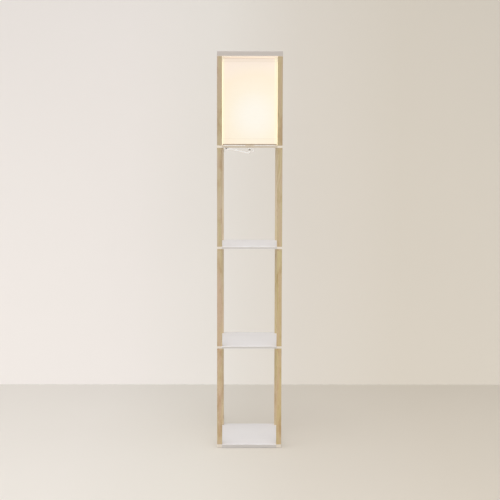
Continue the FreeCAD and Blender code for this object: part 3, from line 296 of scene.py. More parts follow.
# %% [markdown]
# ## The shade
#
# Seen from above the shade is a square with rounded corners. A point of that outline is a point of a
# smaller square plus the corner radius times the outward direction. Going up, the section runs up the
# outside, over a rolled rim, and down the inside, so the fabric has a real thickness. Both ends have
# a hem, where the cloth is folded over and stands a third of a millimetre proud. Between the wires,
# the cloth draws in by a millimetre in the middle of each side.

# %% Shade fabric
shade_low, shade_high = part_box("shade_fabric")
SHADE_HALF = shade_high.x
SHADE_WALL = 0.0012
SHADE_CORNER = 0.004
TOP_HEM = 0.016
BOTTOM_HEM = 0.025
HEM_PROUD = 0.00035
SAG = 0.0010


def soft_step(x, edge, width):
    """0 below the edge, 1 above it, with a smooth change over the width."""
    t = np.clip((x - edge) / width + 0.5, 0, 1)
    return t * t * (3 - 2 * t)


def rounded_square(side_steps=40, corner_steps=8):
    """Unit outline as centre points and outward directions: positions are half * centre + radius *
    direction, where centre has entries -1..1 measured between the corner arcs' centres."""
    along = np.linspace(-1, 1, side_steps)
    sides = np.column_stack([along, -np.ones_like(along)])
    out = np.tile([0.0, -1.0], (side_steps, 1))
    turn = np.linspace(-np.pi / 2, 0, corner_steps + 2)[1:-1]
    corner = np.tile([1.0, -1.0], (corner_steps, 1))
    centres = np.vstack([sides, corner])
    directions = np.vstack([out, np.column_stack([np.cos(turn), np.sin(turn)])])
    quarter = np.array([[0.0, -1.0], [1.0, 0.0]])
    all_centres, all_directions = [centres], [directions]
    for _ in range(3):
        all_centres.append(all_centres[-1] @ quarter.T)
        all_directions.append(all_directions[-1] @ quarter.T)
    return np.vstack(all_centres), np.vstack(all_directions)


def shade_section():
    """Offsets from the outer face and heights: up the outside, over the rim, down the inside."""
    low, high = shade_low.z, shade_high.z
    rim = SHADE_WALL / 2
    hems = [low + BOTTOM_HEM, high - TOP_HEM]
    near = np.concatenate([h + np.linspace(-0.0009, 0.0009, 7) for h in hems])
    heights = np.unique(np.concatenate([np.linspace(low + rim, high - rim, 44), near]))
    proud = HEM_PROUD * (1 - soft_step(heights, hems[0], 0.0012) + soft_step(heights, hems[1], 0.0012))
    outside = np.column_stack([proud, heights])
    arc = np.linspace(0, np.pi, 8)[1:-1]
    top = np.column_stack([-rim + rim * np.cos(arc), high - rim + rim * np.sin(arc)])
    inside = np.column_stack([np.full_like(heights, -SHADE_WALL), heights])[::-1]
    bottom = np.column_stack([-rim - rim * np.cos(arc), low + rim - rim * np.sin(arc)])
    return np.vstack([outside, top, inside, bottom])


def shade_points():
    """Grid over section and outline, with the cloth drawn in between the wires."""
    centres, directions = rounded_square()
    section = shade_section()
    offset, height = section[:, 0][:, None], section[:, 1][:, None]
    share = (height - shade_low.z) / (shade_high.z - shade_low.z)
    along = np.prod(np.where(np.abs(centres) < 1, 1 - centres ** 2, 1.0), axis=1)[None, :]
    drawn = -SAG * np.sin(np.pi * np.clip(share, 0, 1)) * along
    reach = SHADE_CORNER + offset + drawn
    flat = (SHADE_HALF - SHADE_CORNER) * centres[None, :, :] + reach[:, :, None] * directions[None, :, :]
    z = np.broadcast_to(height, flat.shape[:2])
    return np.dstack([flat, z])


shade = new_piece("shade_linen", surface("shade_linen", shade_points(), wrap_rows=True), smooth_angle=60)
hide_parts("shade_fabric")
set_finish(shade, "shade_fabric")
print(f"shade of {len(shade.data.polygons)} faces")

# %% [markdown]
# ## Under the lamp shelf
#
# The photograph shows a small bright fitting with a dark lower end, and the end of a pull chain. The
# strain relief is a tapered sleeve with rings cut round it. A bead chain is a row of small globes
# on a thin wire, and its end piece is a turned bell.

# %% Strain relief
relief_low, relief_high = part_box("cord_strain_relief")


def relief_outline():
    """Tapered sleeve below the flange, with three grooves, then the flange and the shank."""
    z0 = relief_low.z
    steps = np.linspace(0, 0.005, 41)
    radius = 0.0032 + 0.001 * steps / 0.005
    radius -= 0.00028 * np.clip(np.sin(steps / 0.005 * 6 * np.pi - np.pi / 2), 0, 1)
    taper = np.column_stack([radius, z0 + steps])
    rest = [
        (0.0046, z0 + 0.0050),
        (0.0048, z0 + 0.0052),
        (0.0048, z0 + 0.0060),
        (0.0046, z0 + 0.0062),
        (0.0035, z0 + 0.0062),
        (0.0035, relief_high.z),
        (0.0026, relief_high.z),
        (0.0026, z0),
        (0.0032, z0),
    ]
    return np.vstack([taper, rest])


relief = new_piece("strain_relief_sleeve", lathe("strain_relief_sleeve", relief_outline()))
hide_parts("cord_strain_relief")
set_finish(relief, "relief_plastic")
print("strain relief")

# %% Pull chain and bell
chain_low, chain_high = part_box("pull_chain")
bell_low, bell_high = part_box("pull_bell")
CHAIN_X = (chain_low.x + chain_high.x) / 2
CHAIN_Y = (chain_low.y + chain_high.y) / 2
BEAD_RADIUS = 0.0016
BEAD_PITCH = 0.0042


def chain_outline():
    """Beads one pitch apart from the top down: each is a half circle in section, wire between."""
    latitude = np.radians(np.linspace(-68, 68, 13))
    count = int(round((chain_high.z - chain_low.z) / BEAD_PITCH))
    centres = chain_low.z + 0.001 + 0.0016 + BEAD_PITCH * np.arange(count)
    radius = np.tile(BEAD_RADIUS * np.cos(latitude), count)
    height = (centres[:, None] + BEAD_RADIUS * np.sin(latitude)).ravel()
    ends = [[0, chain_low.z], [0.0006, chain_low.z]], [[0.0006, chain_high.z], [0, chain_high.z]]
    return np.vstack([ends[0], np.column_stack([radius, height]), ends[1]])


def bell_outline():
    """A bell: rounded lip, wide skirt, then a long hollow curve up to the neck."""
    share = np.linspace(0, 1, 25)
    skirt = 0.003 - 0.002 * soft_step(share, 0.62, 0.72)
    lip = np.sqrt(np.clip(1 - (1 - np.clip(share / 0.10, 0, 1)) ** 2, 0, 1))
    radius = skirt * (0.72 + 0.28 * lip)
    height = bell_low.z + share * (bell_high.z - bell_low.z)
    closed = np.column_stack([radius, height])
    return np.vstack([[0, bell_low.z], closed, [0, bell_high.z]])


centre = (CHAIN_X, CHAIN_Y, 0)
chain = new_piece("bead_chain", lathe("bead_chain", chain_outline(), centre, 20), "pull_switch")
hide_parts("pull_chain")
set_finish(chain, "chain_steel")
bell = new_piece("chain_bell", lathe("chain_bell", bell_outline(), centre, 32), "pull_switch")
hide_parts("pull_bell")
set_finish(bell, "chain_steel")
print("chain and bell ride on the pull switch")

# %% [markdown]
# ## Inside the shade
#
# The bulb's globe is a hollow ball cut off where it meets the tapered body.

# %% Bulb
globe_low, globe_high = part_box("bulb_globe")
body_low, body_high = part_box("bulb_body")
GLOBE_RADIUS = 0.030
GLOBE_CENTRE_Z = globe_high.z - GLOBE_RADIUS
GLOBE_WALL = 0.0012


def globe_outline():
    """Up the outside from the cut to the top, and down the inside to the cut."""
    cut = math.asin((globe_low.z - GLOBE_CENTRE_Z) / GLOBE_RADIUS)
    latitude = np.linspace(cut, np.pi / 2, 32)
    outer = GLOBE_RADIUS * np.column_stack([np.cos(latitude), np.sin(latitude)])
    inner_radius = GLOBE_RADIUS - GLOBE_WALL
    inner = inner_radius * np.column_stack([np.cos(latitude), np.sin(latitude)])[::-1]
    inner[-1, 1] = outer[0, 1]
    whole = np.vstack([outer, inner, outer[:1]])
    return whole + [0, GLOBE_CENTRE_Z]


def bulb_body_outline():
    """A smooth cone whose sides flare from the screw cap to the globe."""
    share = np.linspace(0, 1, 20)
    radius = 0.0140 + (0.0245 - 0.0140) * share ** 0.62
    height = body_low.z + share * (body_high.z - body_low.z)
    return np.vstack([[0, body_low.z], np.column_stack([radius, height]), [0, body_high.z]])


globe = new_piece("bulb_frosted_globe", lathe("bulb_frosted_globe", globe_outline(), around=64))
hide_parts("bulb_globe")
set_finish(globe, "frosted_glass")
bulb_base = new_piece("bulb_tapered_body", lathe("bulb_tapered_body", bulb_body_outline(), around=64))
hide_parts("bulb_body")
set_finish(bulb_base, "bulb_plastic")
print("bulb")

# %% [markdown]
# ## On the cord
#
# The plug is a rounded block whose sides draw in towards the cord, with three finger ridges on each
# broad side. Its section is a superellipse: |x/a|^n + |z/b|^n = 1, n = 4.5. The tie is a flat band that
# hugs the hank's waist.

# %% Plug body and its strain relief
plug_low, plug_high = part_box("plug_body")
PLUG_X = (plug_low.x + plug_high.x) / 2
PLUG_Z = (plug_low.z + plug_high.z) / 2
RELIEF_LENGTH = 0.022


def superellipse(angle, power):
    """A rounded square's outline: each coordinate is the circle's to the power 2 / power."""
    x = np.sign(np.cos(angle)) * np.abs(np.cos(angle)) ** (2 / power)
    z = np.sign(np.sin(angle)) * np.abs(np.sin(angle)) ** (2 / power)
    return x, z


def plug_points(along=90, around=64):
    """Half width and half height along the cord: a ringed cone, then the block, then a flat end."""
    y = np.linspace(0, plug_high.y - plug_low.y, along)
    block = soft_step(y, RELIEF_LENGTH + 0.005, 0.013)
    cone = 0.0034 + 0.0014 * np.clip(y / RELIEF_LENGTH, 0, 1)
    rings = 0.00045 * (np.sin(y / RELIEF_LENGTH * 10 * np.pi) > 0.2) * (y < RELIEF_LENGTH)
    end = np.sqrt(np.clip(1 - np.clip((y - (y[-1] - 0.0018)) / 0.0018, 0, 1) ** 2, 0.0, 1))
    shrink = 1 - 0.12 * (1 - end)
    ridges = 0.0005 * np.clip(np.sin((y - 0.030) / 0.004 * 2 * np.pi), 0, 1) * ((y > 0.030) & (y < 0.042))
    half_x = ((cone - rings) * (1 - block) + 0.0119 * block) * shrink
    half_z = ((cone - rings) * (1 - block) + 0.0069 * block + ridges) * shrink
    angle = np.linspace(0, 2 * np.pi, around, endpoint=False)
    round_x, round_z = superellipse(angle, 2.0)
    square_x, square_z = superellipse(angle, 4.5)
    x = half_x[:, None] * (round_x * (1 - block[:, None]) + square_x * block[:, None])
    z = half_z[:, None] * (round_z * (1 - block[:, None]) + square_z * block[:, None])
    ring = np.stack([PLUG_X + x, np.broadcast_to(plug_low.y + y[:, None], x.shape), PLUG_Z + z], axis=-1)
    first = np.broadcast_to([PLUG_X, plug_low.y, PLUG_Z], ring[:1].shape)
    last = np.broadcast_to([PLUG_X, plug_high.y, PLUG_Z], ring[:1].shape)
    return np.vstack([first, ring, last])


plug = new_piece("plug_moulding", surface("plug_moulding", plug_points()))
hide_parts("plug_body")
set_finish(plug, "plug_plastic")
print("plug")

# %% Tie round the hank
tie_low, tie_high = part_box("cord_tie")
TIE_WALL = 0.0011


def tie_points(around=96, up=10):
    """A band along a superellipse: out over its face and back inside, with a slightly barrelled face."""
    centre = (tie_low + tie_high) / 2
    half = (tie_high - tie_low) / 2
    angle = np.linspace(0, 2 * np.pi, around, endpoint=False)
    x, y = superellipse(angle, 5.0)
    share = np.linspace(-1, 1, up)
    outer = np.column_stack([-0.0003 * share ** 2, share * half.z])
    inner = np.column_stack([np.full(up, -TIE_WALL), share[::-1] * half.z])
    section = np.vstack([outer, inner])
    px = centre.x + x * (half.x + section[:, :1])
    py = centre.y + y * (half.y + section[:, :1])
    pz = np.broadcast_to(centre.z + section[:, 1:], px.shape)
    return np.stack([px, py, pz], axis=-1)


tie = new_piece("hank_tie_band", surface("hank_tie_band", tie_points(), wrap_rows=True))
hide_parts("cord_tie")
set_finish(tie, "cord_jacket")

# %% [markdown]
# ## Materials
#
# A few short tools write node trees. Patterns that several materials share are node groups that take
# the surface's own coordinates and give back masks, so each material mixes its own colours.
#
# Colours are written as they look on a screen and turned into linear light.

# %% Tools for node trees
def linear(red, green, blue):
    """Screen values 0..255 as linear light: the screen's curve undone."""
    value = np.array([red, green, blue]) / 255
    light = np.where(value <= 0.04045, value / 12.92, ((value + 0.055) / 1.055) ** 2.4)
    return (*light, 1.0)


def add(tree, kind, sockets=None, **settings):
    """A node with its settings, and with its sockets set to constants or linked to other sockets."""
    made = tree.nodes.new(kind)
    for name, value in settings.items():
        setattr(made, name, value)
    for name, value in (sockets or {}).items():
        if isinstance(value, bpy.types.NodeSocket):
            tree.links.new(value, made.inputs[name])
        else:
            made.inputs[name].default_value = value
    return made


def maths(tree, operation, *values, clamp=False):
    """A Math node's result for up to three values."""
    sockets = dict(enumerate(values))
    return add(tree, "ShaderNodeMath", sockets, operation=operation, use_clamp=clamp).outputs[0]


def mix(tree, factor, first, second, blend="MIX"):
    """Two colours mixed by the factor."""
    made = add(tree, "ShaderNodeMix", data_type="RGBA", blend_type=blend)
    for number, value in ((0, factor), (6, first), (7, second)):
        if isinstance(value, bpy.types.NodeSocket):
            tree.links.new(value, made.inputs[number])
        else:
            made.inputs[number].default_value = value
    return made.outputs[2]


def ramp(tree, factor, *stops):
    """A colour ramp through (place, value) or (place, colour) stops."""
    made = add(tree, "ShaderNodeValToRGB", {"Fac": factor})
    band = made.color_ramp
    while len(band.elements) < len(stops):
        band.elements.new(0.5)
    for element, (place, value) in zip(band.elements, stops):
        element.position = place
        element.color = value if hasattr(value, "__len__") else (value, value, value, 1)
    return made.outputs["Color"]


def noise(tree, vector, scale, detail=2.0, roughness=0.5):
    """Smooth noise 0..1 of that many features to the metre."""
    sockets = {"Scale": scale, "Detail": detail, "Roughness": roughness}
    return add(tree, "ShaderNodeTexNoise", {"Vector": vector, **sockets}).outputs[0]


def stretched(tree, vector, scale, offset=(0, 0, 0)):
    """Coordinates multiplied along each axis and shifted."""
    return add(
        tree, "ShaderNodeMapping", {"Vector": vector, "Scale": scale, "Location": offset}
    ).outputs[0]


def new_group(name, inputs, outputs):
    """A node group with (name, type) sockets, its tree, its input node and its output node."""
    tree = bpy.data.node_groups.new(name, "ShaderNodeTree")
    for label, kind in inputs:
        tree.interface.new_socket(label, in_out="INPUT", socket_type=kind)
    for label, kind in outputs:
        tree.interface.new_socket(label, in_out="OUTPUT", socket_type=kind)
    return tree, add(tree, "NodeGroupInput"), add(tree, "NodeGroupOutput")


def use_group(tree, group, **sockets):
    """A group in a material, its sockets named with _ for spaces."""
    made = tree.nodes.new("ShaderNodeGroup")
    made.node_tree = group
    for name, value in sockets.items():
        socket = made.inputs[name.replace("_", " ")]
        if isinstance(value, bpy.types.NodeSocket):
            tree.links.new(value, socket)
        else:
            socket.default_value = value
    return made.outputs


def new_material(name):
    """A material's tree, its object coordinates and its Principled shader."""
    material = bpy.data.materials.new(name)
    material.use_nodes = True
    tree = material.node_tree
    shader = tree.nodes["Principled BSDF"]
    return material, tree, add(tree, "ShaderNodeTexCoord").outputs["Object"], shader


def bump(tree, shader, height, distance, strength=1.0):
    """Relief on the shader: distance is the height in metres of a full step."""
    made = add(tree, "ShaderNodeBump", {"Height": height, "Distance": distance, "Strength": strength})
    tree.links.new(made.outputs[0], shader.inputs["Normal"])


VALUE, VECTOR = "NodeSocketFloat", "NodeSocketVector"
print("node tools")

# %% [markdown]
# ### Wood grain
#
# Grain lines are a wave across the post, bent by slow noise that is stretched along it, so the lines
# wander, close up and open out over a hand's breadth. Pores are short dark dashes. Each tier of posts
# is cut from another stick, so the pattern jumps at every board: the tier's number shifts the noise.

# %% Group: wood grain along Z
def wood_group():
    tree, given, result = new_group(
        "wood_grain",
        [("Vector", VECTOR), ("Tier Height", VALUE)],
        [("Lines", VALUE), ("Pores", VALUE), ("Tone", VALUE), ("Hue", VALUE)],
    )
    parts = add(tree, "ShaderNodeSeparateXYZ", {0: given.outputs["Vector"]}).outputs
    tier = maths(tree, "FLOOR", maths(tree, "DIVIDE", parts[2], given.outputs["Tier Height"]))
    shift = maths(tree, "MULTIPLY", tier, 3.7)
    x = maths(tree, "ADD", parts[0], shift)
    y = maths(tree, "ADD", parts[1], maths(tree, "MULTIPLY", tier, 1.9))
    moved = add(tree, "ShaderNodeCombineXYZ", {0: x, 1: y, 2: parts[2]}).outputs[0]

    slow = noise(tree, stretched(tree, moved, (9, 9, 1.6)), 1.0, 2.0)
    across = maths(tree, "ADD", parts[0], maths(tree, "MULTIPLY", parts[1], 0.7))
    bent = maths(tree, "ADD", maths(tree, "MULTIPLY", across, 165), maths(tree, "MULTIPLY", slow, 26))
    wave = maths(tree, "FRACT", bent)
    late = maths(tree, "POWER", wave, 2.4)
    fibre = noise(tree, stretched(tree, moved, (1400, 1400, 26)), 1.0, 3.0, 0.6)
    lines = maths(tree, "ADD", maths(tree, "MULTIPLY", late, 0.7), maths(tree, "MULTIPLY", fibre, 0.45))
    tree.links.new(lines, result.inputs["Lines"])

    dashes = noise(tree, stretched(tree, moved, (2300, 2300, 95)), 1.0, 1.0)
    tree.links.new(ramp(tree, dashes, (0.30, 1.0), (0.38, 0.0)), result.inputs["Pores"])
    tone = noise(tree, stretched(tree, moved, (34, 34, 13)), 1.0, 3.0, 0.6)
    tree.links.new(tone, result.inputs["Tone"])
    hue = noise(tree, stretched(tree, moved, (55, 55, 6), (4, 7, 2)), 1.0, 2.0, 0.5)
    tree.links.new(hue, result.inputs["Hue"])
    return tree


wood_grain = wood_group()
print("wood_grain:", [s.name for s in wood_grain.interface.items_tree])

# %% Material: the posts' wood
def post_material():
    """Pale oak under a satin lacquer: two tones by the grain, warmer patches, faint pores. The sticks
    are painted darker towards the top, as shade beside the bright lampshade, yellower on the right,
    and painted lighter at the back, as light on the rear posts. Faces turned to the shade glow with
    painted light from it."""
    material, tree, place, shader = new_material("post_oak")
    grain = use_group(tree, wood_grain, Vector=place, Tier_Height=0.404)
    early_late = ramp(
        tree,
        grain["Lines"],
        (0.10, linear(226, 206, 174)),
        (0.55, linear(204, 178, 138)),
        (0.95, linear(166, 134, 92)),
    )
    sap_hues = (0.34, linear(204, 172, 146)), (0.50, linear(205, 182, 140)), (0.66, linear(196, 178, 120))
    sap = ramp(tree, grain["Hue"], *sap_hues)
    hued = mix(tree, 0.55, early_late, sap)
    patches = ramp(tree, grain["Tone"], (0.50, 0.0), (0.70, 1.0))
    warm = mix(tree, maths(tree, "MULTIPLY", patches, 0.6), hued, linear(178, 140, 96))
    pored = mix(tree, maths(tree, "MULTIPLY", grain["Pores"], 0.22), warm, linear(120, 92, 62))
    parts = add(tree, "ShaderNodeSeparateXYZ", {0: place}).outputs
    # Painted shade: the posts get darker towards the top, beside the bright lampshade.
    painted_shade_by_height = ramp(
        tree,
        maths(tree, "DIVIDE", parts[2], 1.6),
        (0.12, (1.00, 1.00, 0.99, 1.0)),
        (0.38, (0.91, 0.92, 0.90, 1.0)),
        (0.62, (0.86, 0.90, 0.98, 1.0)),
        (0.86, (0.74, 0.76, 0.77, 1.0)),
    )
    rightward = maths(tree, "MULTIPLY_ADD", parts[0], 4.0, 0.5, clamp=True)
    side_tint = mix(tree, rightward, (1.0, 1.0, 1.06, 1.0), (1.0, 1.0, 0.93, 1.0))
    # Painted light: the rear posts are painted lighter, and more so higher up.
    rearward = maths(tree, "GREATER_THAN", parts[1], 0.0)
    toned = mix(tree, 1.0, mix(tree, 1.0, pored, painted_shade_by_height, blend="MULTIPLY"), side_tint, blend="MULTIPLY")
    higher = maths(tree, "MULTIPLY_ADD", parts[2], 2.5, -1.75, clamp=True)
    rear_light_share = maths(tree, "MULTIPLY_ADD", higher, 0.35, 0.20)
    rear_painted_light = mix(tree, maths(tree, "MULTIPLY", rearward, rear_light_share), toned, linear(236, 218, 188))
    tree.links.new(rear_painted_light, shader.inputs["Base Color"])

    # Painted light: the inward faces of the posts beside the lampshade glow as if lit by it.
    facing = add(tree, "ShaderNodeNewGeometry").outputs["True Normal"]
    outward = add(
        tree, "ShaderNodeVectorMath", {0: place, 1: facing}, operation="DOT_PRODUCT"
    )
    level = add(tree, "ShaderNodeSeparateXYZ", {0: facing}).outputs[2]
    upright = maths(tree, "LESS_THAN", maths(tree, "ABSOLUTE", level), 0.5)
    inward = maths(tree, "MULTIPLY", maths(tree, "LESS_THAN", outward.outputs["Value"], -0.05), upright)
    beside_shade = maths(tree, "GREATER_THAN", parts[2], shade_low.z)
    lit_by_shade = maths(tree, "MULTIPLY", inward, beside_shade)
    tree.links.new(maths(tree, "MULTIPLY", lit_by_shade, 0.75), shader.inputs["Emission Strength"])
    shader.inputs["Emission Color"].default_value = linear(255, 243, 214)
    gloss = maths(tree, "ADD", 0.40, maths(tree, "MULTIPLY", grain["Lines"], 0.14))
    tree.links.new(gloss, shader.inputs["Roughness"])
    bump(tree, shader, maths(tree, "SUBTRACT", grain["Lines"], grain["Pores"]), 0.00006)
    return material


post_oak = post_material()
print(post_oak.name)

# %% [markdown]
# ### Painted boards
#
# The shelves are covered with an off-white film. The paint has a fine orange-peel relief, and very
# faint streaks along X from the board underneath.

# %% Group: painted surface, and the board materials
def paint_group():
    tree, given, result = new_group(
        "painted_surface", [("Vector", VECTOR)], [("Streaks", VALUE), ("Peel", VALUE), ("Cloud", VALUE)]
    )
    vector = given.outputs["Vector"]
    streaks = noise(tree, stretched(tree, vector, (14, 520, 520)), 1.0, 3.0, 0.6)
    tree.links.new(streaks, result.inputs["Streaks"])
    tree.links.new(noise(tree, vector, 900, 2.0), result.inputs["Peel"])
    tree.links.new(noise(tree, vector, 7, 3.0), result.inputs["Cloud"])
    return tree


def board_material(name, light, shaded, edge, roughness, end_share=0.75, underside=0.0):
    """Off-white film on a board: its two tones mixed by streaks and by slow clouds. The upright faces
    are painted a slightly darker edge tone, as shade. The edge tone is
    warmer where it passes over a post. The underside can glow with painted light from the shade."""
    material, tree, place, shader = new_material(name)
    paint = use_group(tree, painted, Vector=place)
    streaks = maths(tree, "MULTIPLY", paint["Streaks"], 0.6)
    amount = maths(tree, "MULTIPLY_ADD", paint["Cloud"], 0.4, streaks)
    film = ramp(tree, amount, (0.30, light), (0.72, shaded))
    true_normal = add(tree, "ShaderNodeNewGeometry").outputs["True Normal"]
    facing = add(tree, "ShaderNodeSeparateXYZ", {0: true_normal})
    upright = maths(tree, "LESS_THAN", maths(tree, "ABSOLUTE", facing.outputs[2]), 0.5)
    off_middle = maths(tree, "ABSOLUTE", add(tree, "ShaderNodeSeparateXYZ", {0: place}).outputs[0])
    over_post = maths(tree, "MULTIPLY_ADD", off_middle, 1 / 0.004, -0.1085 / 0.004, clamp=True)
    ends = mix(tree, maths(tree, "MULTIPLY", over_post, end_share), edge, linear(238, 226, 207))
    band = mix(tree, maths(tree, "MULTIPLY", paint["Cloud"], 0.1), ends, shaded)
    # Painted shade: the upright faces take the darker edge tone.
    tree.links.new(mix(tree, upright, film, band), shader.inputs["Base Color"])
    # Painted light: downward faces glow warm by the underside amount, as if lit by the lampshade.
    below = maths(tree, "LESS_THAN", facing.outputs[2], -0.5)
    shader.inputs["Emission Color"].default_value = linear(255, 236, 214)
    tree.links.new(maths(tree, "MULTIPLY", below, underside), shader.inputs["Emission Strength"])
    sheen = maths(tree, "MULTIPLY_ADD", paint["Peel"], 0.10, roughness)
    tree.links.new(sheen, shader.inputs["Roughness"])
    bump(tree, shader, maths(tree, "ADD", paint["Peel"], paint["Streaks"]), 0.00003)
    return material


painted = paint_group()
shelf_white = board_material(
    "shelf_white", linear(248, 246, 246), linear(244, 241, 242), linear(205, 199, 193), 0.42
)
# Painted shade on the lamp shelf's edge, warmed as if by the lampshade's light.
lamp_shelf_white = board_material(
    "lamp_shelf_white", linear(248, 246, 246), linear(242, 239, 238), linear(197, 182, 159), 0.42
)
# The top board's darker edge tone is painted shade, and its underside glow is painted light.
top_white = board_material(
    "top_board_white", linear(232, 226, 222), linear(224, 218, 213), linear(184, 175, 167), 0.46, 0.0,
    underside=0.3,
)
print("boards:", shelf_white.name, top_white.name)

# %% [markdown]
# ### Linen lit from inside
#
# Woven cloth is two sets of threads that pass over and under each other. Each set is a row of humps,
# |sin|, and a second, slower sine decides which set lies on top. Threads also vary in thickness, so
# their humps are bent by stretched noise, which gives the slubs of linen.
#
# The bulb lights the cloth from inside. The glow falls off with the distance from the bulb, seen on
# every side alike, and it is weakest at the hems, where the cloth is double. The picture shows the
# middle of each side almost white and its ends a warm cream.

# %% Group: plain weave of two thread directions
def weave_group():
    tree, given, result = new_group(
        "plain_weave", [("Vector", VECTOR), ("Pitch", VALUE)], [("Height", VALUE), ("Slub", VALUE)]
    )
    parts = add(tree, "ShaderNodeSeparateXYZ", {0: given.outputs["Vector"]}).outputs
    around = maths(tree, "ADD", parts[0], parts[1])
    turns = maths(tree, "DIVIDE", math.pi, given.outputs["Pitch"])
    uneven = noise(tree, stretched(tree, given.outputs["Vector"], (35, 35, 420)), 1.0, 2.0)
    across = maths(tree, "MULTIPLY", around, turns)
    height = maths(tree, "ADD", maths(tree, "MULTIPLY", parts[2], turns), maths(tree, "MULTIPLY", uneven, 2.5))
    warp = maths(tree, "ABSOLUTE", maths(tree, "SINE", across))
    weft = maths(tree, "ABSOLUTE", maths(tree, "SINE", height))
    over = maths(
        tree,
        "MULTIPLY",
        maths(tree, "SINE", maths(tree, "ADD", across, math.pi / 2)),
        maths(tree, "SINE", maths(tree, "ADD", height, math.pi / 2)),
    )
    side = maths(tree, "MULTIPLY_ADD", over, 0.5, 0.5, clamp=True)
    woven = maths(
        tree,
        "ADD",
        maths(tree, "MULTIPLY", warp, side),
        maths(tree, "MULTIPLY", weft, maths(tree, "SUBTRACT", 1.0, side)),
    )
    tree.links.new(woven, result.inputs["Height"])
    slub = noise(tree, stretched(tree, given.outputs["Vector"], (22, 22, 900)), 1.0, 3.0, 0.6)
    tree.links.new(slub, result.inputs["Slub"])
    return tree


plain_weave = weave_group()
print("plain_weave")

# %% Group: how brightly the bulb shows through
GLOW_CENTRE = (0.018, 0.0, 1.348)


def glow_group():
    tree, given, result = new_group(
        "bulb_glow", [("Vector", VECTOR)], [("Near", VALUE), ("Hem", VALUE), ("Edge", VALUE), ("Corner", VALUE)]
    )
    vector = given.outputs["Vector"]
    away = add(
        tree, "ShaderNodeVectorMath", {0: vector, 1: GLOW_CENTRE}, operation="DISTANCE"
    ).outputs["Value"]
    near = maths(tree, "MULTIPLY_ADD", away, -1 / 0.125, 0.236 / 0.125, clamp=True)
    tree.links.new(near, result.inputs["Near"])

    place = add(tree, "ShaderNodeSeparateXYZ", {0: vector}).outputs
    height = place[2]
    top = maths(tree, "GREATER_THAN", height, shade_high.z - TOP_HEM)
    bottom = maths(tree, "LESS_THAN", height, shade_low.z + BOTTOM_HEM)
    tree.links.new(maths(tree, "ADD", top, bottom), result.inputs["Hem"])
    low_edge = maths(tree, "LESS_THAN", height, shade_low.z + 0.0032)
    top_line = maths(tree, "COMPARE", height, shade_high.z - TOP_HEM, 0.0008)
    low_line = maths(tree, "COMPARE", height, shade_low.z + BOTTOM_HEM, 0.0008)
    seams = maths(tree, "MULTIPLY", maths(tree, "ADD", top_line, low_line), 0.14)
    above = maths(tree, "GREATER_THAN", height, shade_high.z - 0.0026)
    leftward = maths(tree, "MULTIPLY_ADD", place[0], -4.0, 0.55, clamp=True)
    rim_shadow = maths(tree, "MULTIPLY", maths(tree, "MULTIPLY", above, leftward), 0.5)
    lines = maths(tree, "ADD", maths(tree, "ADD", low_edge, seams), rim_shadow, clamp=True)
    tree.links.new(lines, result.inputs["Edge"])

    # Painted light: the shade's corners are brighter, standing for the lit posts seen beside it.
    nearer = maths(
        tree, "MINIMUM", maths(tree, "ABSOLUTE", place[0]), maths(tree, "ABSOLUTE", place[1])
    )
    right_side = maths(tree, "MULTIPLY", maths(tree, "GREATER_THAN", place[0], 0.0), 0.0025)
    reach = maths(tree, "ADD", nearer, right_side)
    corner = maths(tree, "MULTIPLY_ADD", reach, 1 / 0.003, -0.1000 / 0.003, clamp=True)
    tree.links.new(corner, result.inputs["Corner"])
    return tree


bulb_glow = glow_group()
print("bulb_glow")

# %% Material: the shade
def shade_material():
    """Cream linen: a cloth that scatters the room's light, with the bulb's glow added to it."""
    material, tree, place, shader = new_material("lit_linen")
    weave = use_group(tree, plain_weave, Vector=place, Pitch=0.0007)
    glow = use_group(tree, bulb_glow, Vector=place)
    shader.inputs["Roughness"].default_value = 0.85
    shader.inputs["Sheen Weight"].default_value = 0.25
    bump(tree, shader, weave["Height"], 0.00018)

    lit = ramp(
        tree,
        glow["Near"],
        (0.0, linear(253, 238, 222)),
        (0.35, linear(255, 240, 217)),
        (0.70, linear(255, 244, 223)),
        (1.0, linear(255, 249, 236)),
    )
    doubled = mix(tree, maths(tree, "MULTIPLY", glow["Hem"], 0.08), lit, linear(238, 214, 180))
    # Painted light: brighter cream strips at the corners.
    corner_painted_light = mix(tree, maths(tree, "MULTIPLY", glow["Corner"], 0.8), doubled, linear(255, 250, 222))
    lined = mix(tree, maths(tree, "MULTIPLY", glow["Edge"], 0.85), corner_painted_light, linear(128, 98, 74))
    threads = maths(tree, "MULTIPLY_ADD", weave["Height"], 0.05, 0.96)
    slubs = maths(tree, "MULTIPLY_ADD", weave["Slub"], -0.05, 1.0)
    cloth_light = maths(tree, "MULTIPLY", threads, slubs)
    woven = mix(tree, 1.0, lined, cloth_light, blend="MULTIPLY")
    tree.links.new(woven, shader.inputs["Emission Color"])
    shader.inputs["Emission Strength"].default_value = 0.64
    cloth = mix(tree, 1.0, woven, (0.37, 0.37, 0.37, 1.0), blend="MULTIPLY")
    tree.links.new(cloth, shader.inputs["Base Color"])
    return material


lit_linen = shade_material()
print(lit_linen.name)

# %% [markdown]
# ### Metal, plastic, rubber, glass
#
# Small parts share two patterns. Brushed or turned metal has fine rings round its axis. Moulded
# plastic and rubber have a grain of small dimples and slight dirt in slow clouds.

# %% Groups: turned metal and moulded plastic
def turned_group():
    tree, given, result = new_group(
        "turned_metal", [("Vector", VECTOR)], [("Rings", VALUE), ("Stain", VALUE)]
    )
    vector = given.outputs["Vector"]
    tree.links.new(
        noise(tree, stretched(tree, vector, (60, 60, 5200)), 1.0, 2.0, 0.6), result.inputs["Rings"]
    )
    tree.links.new(noise(tree, vector, 160, 3.0, 0.6), result.inputs["Stain"])
    return tree


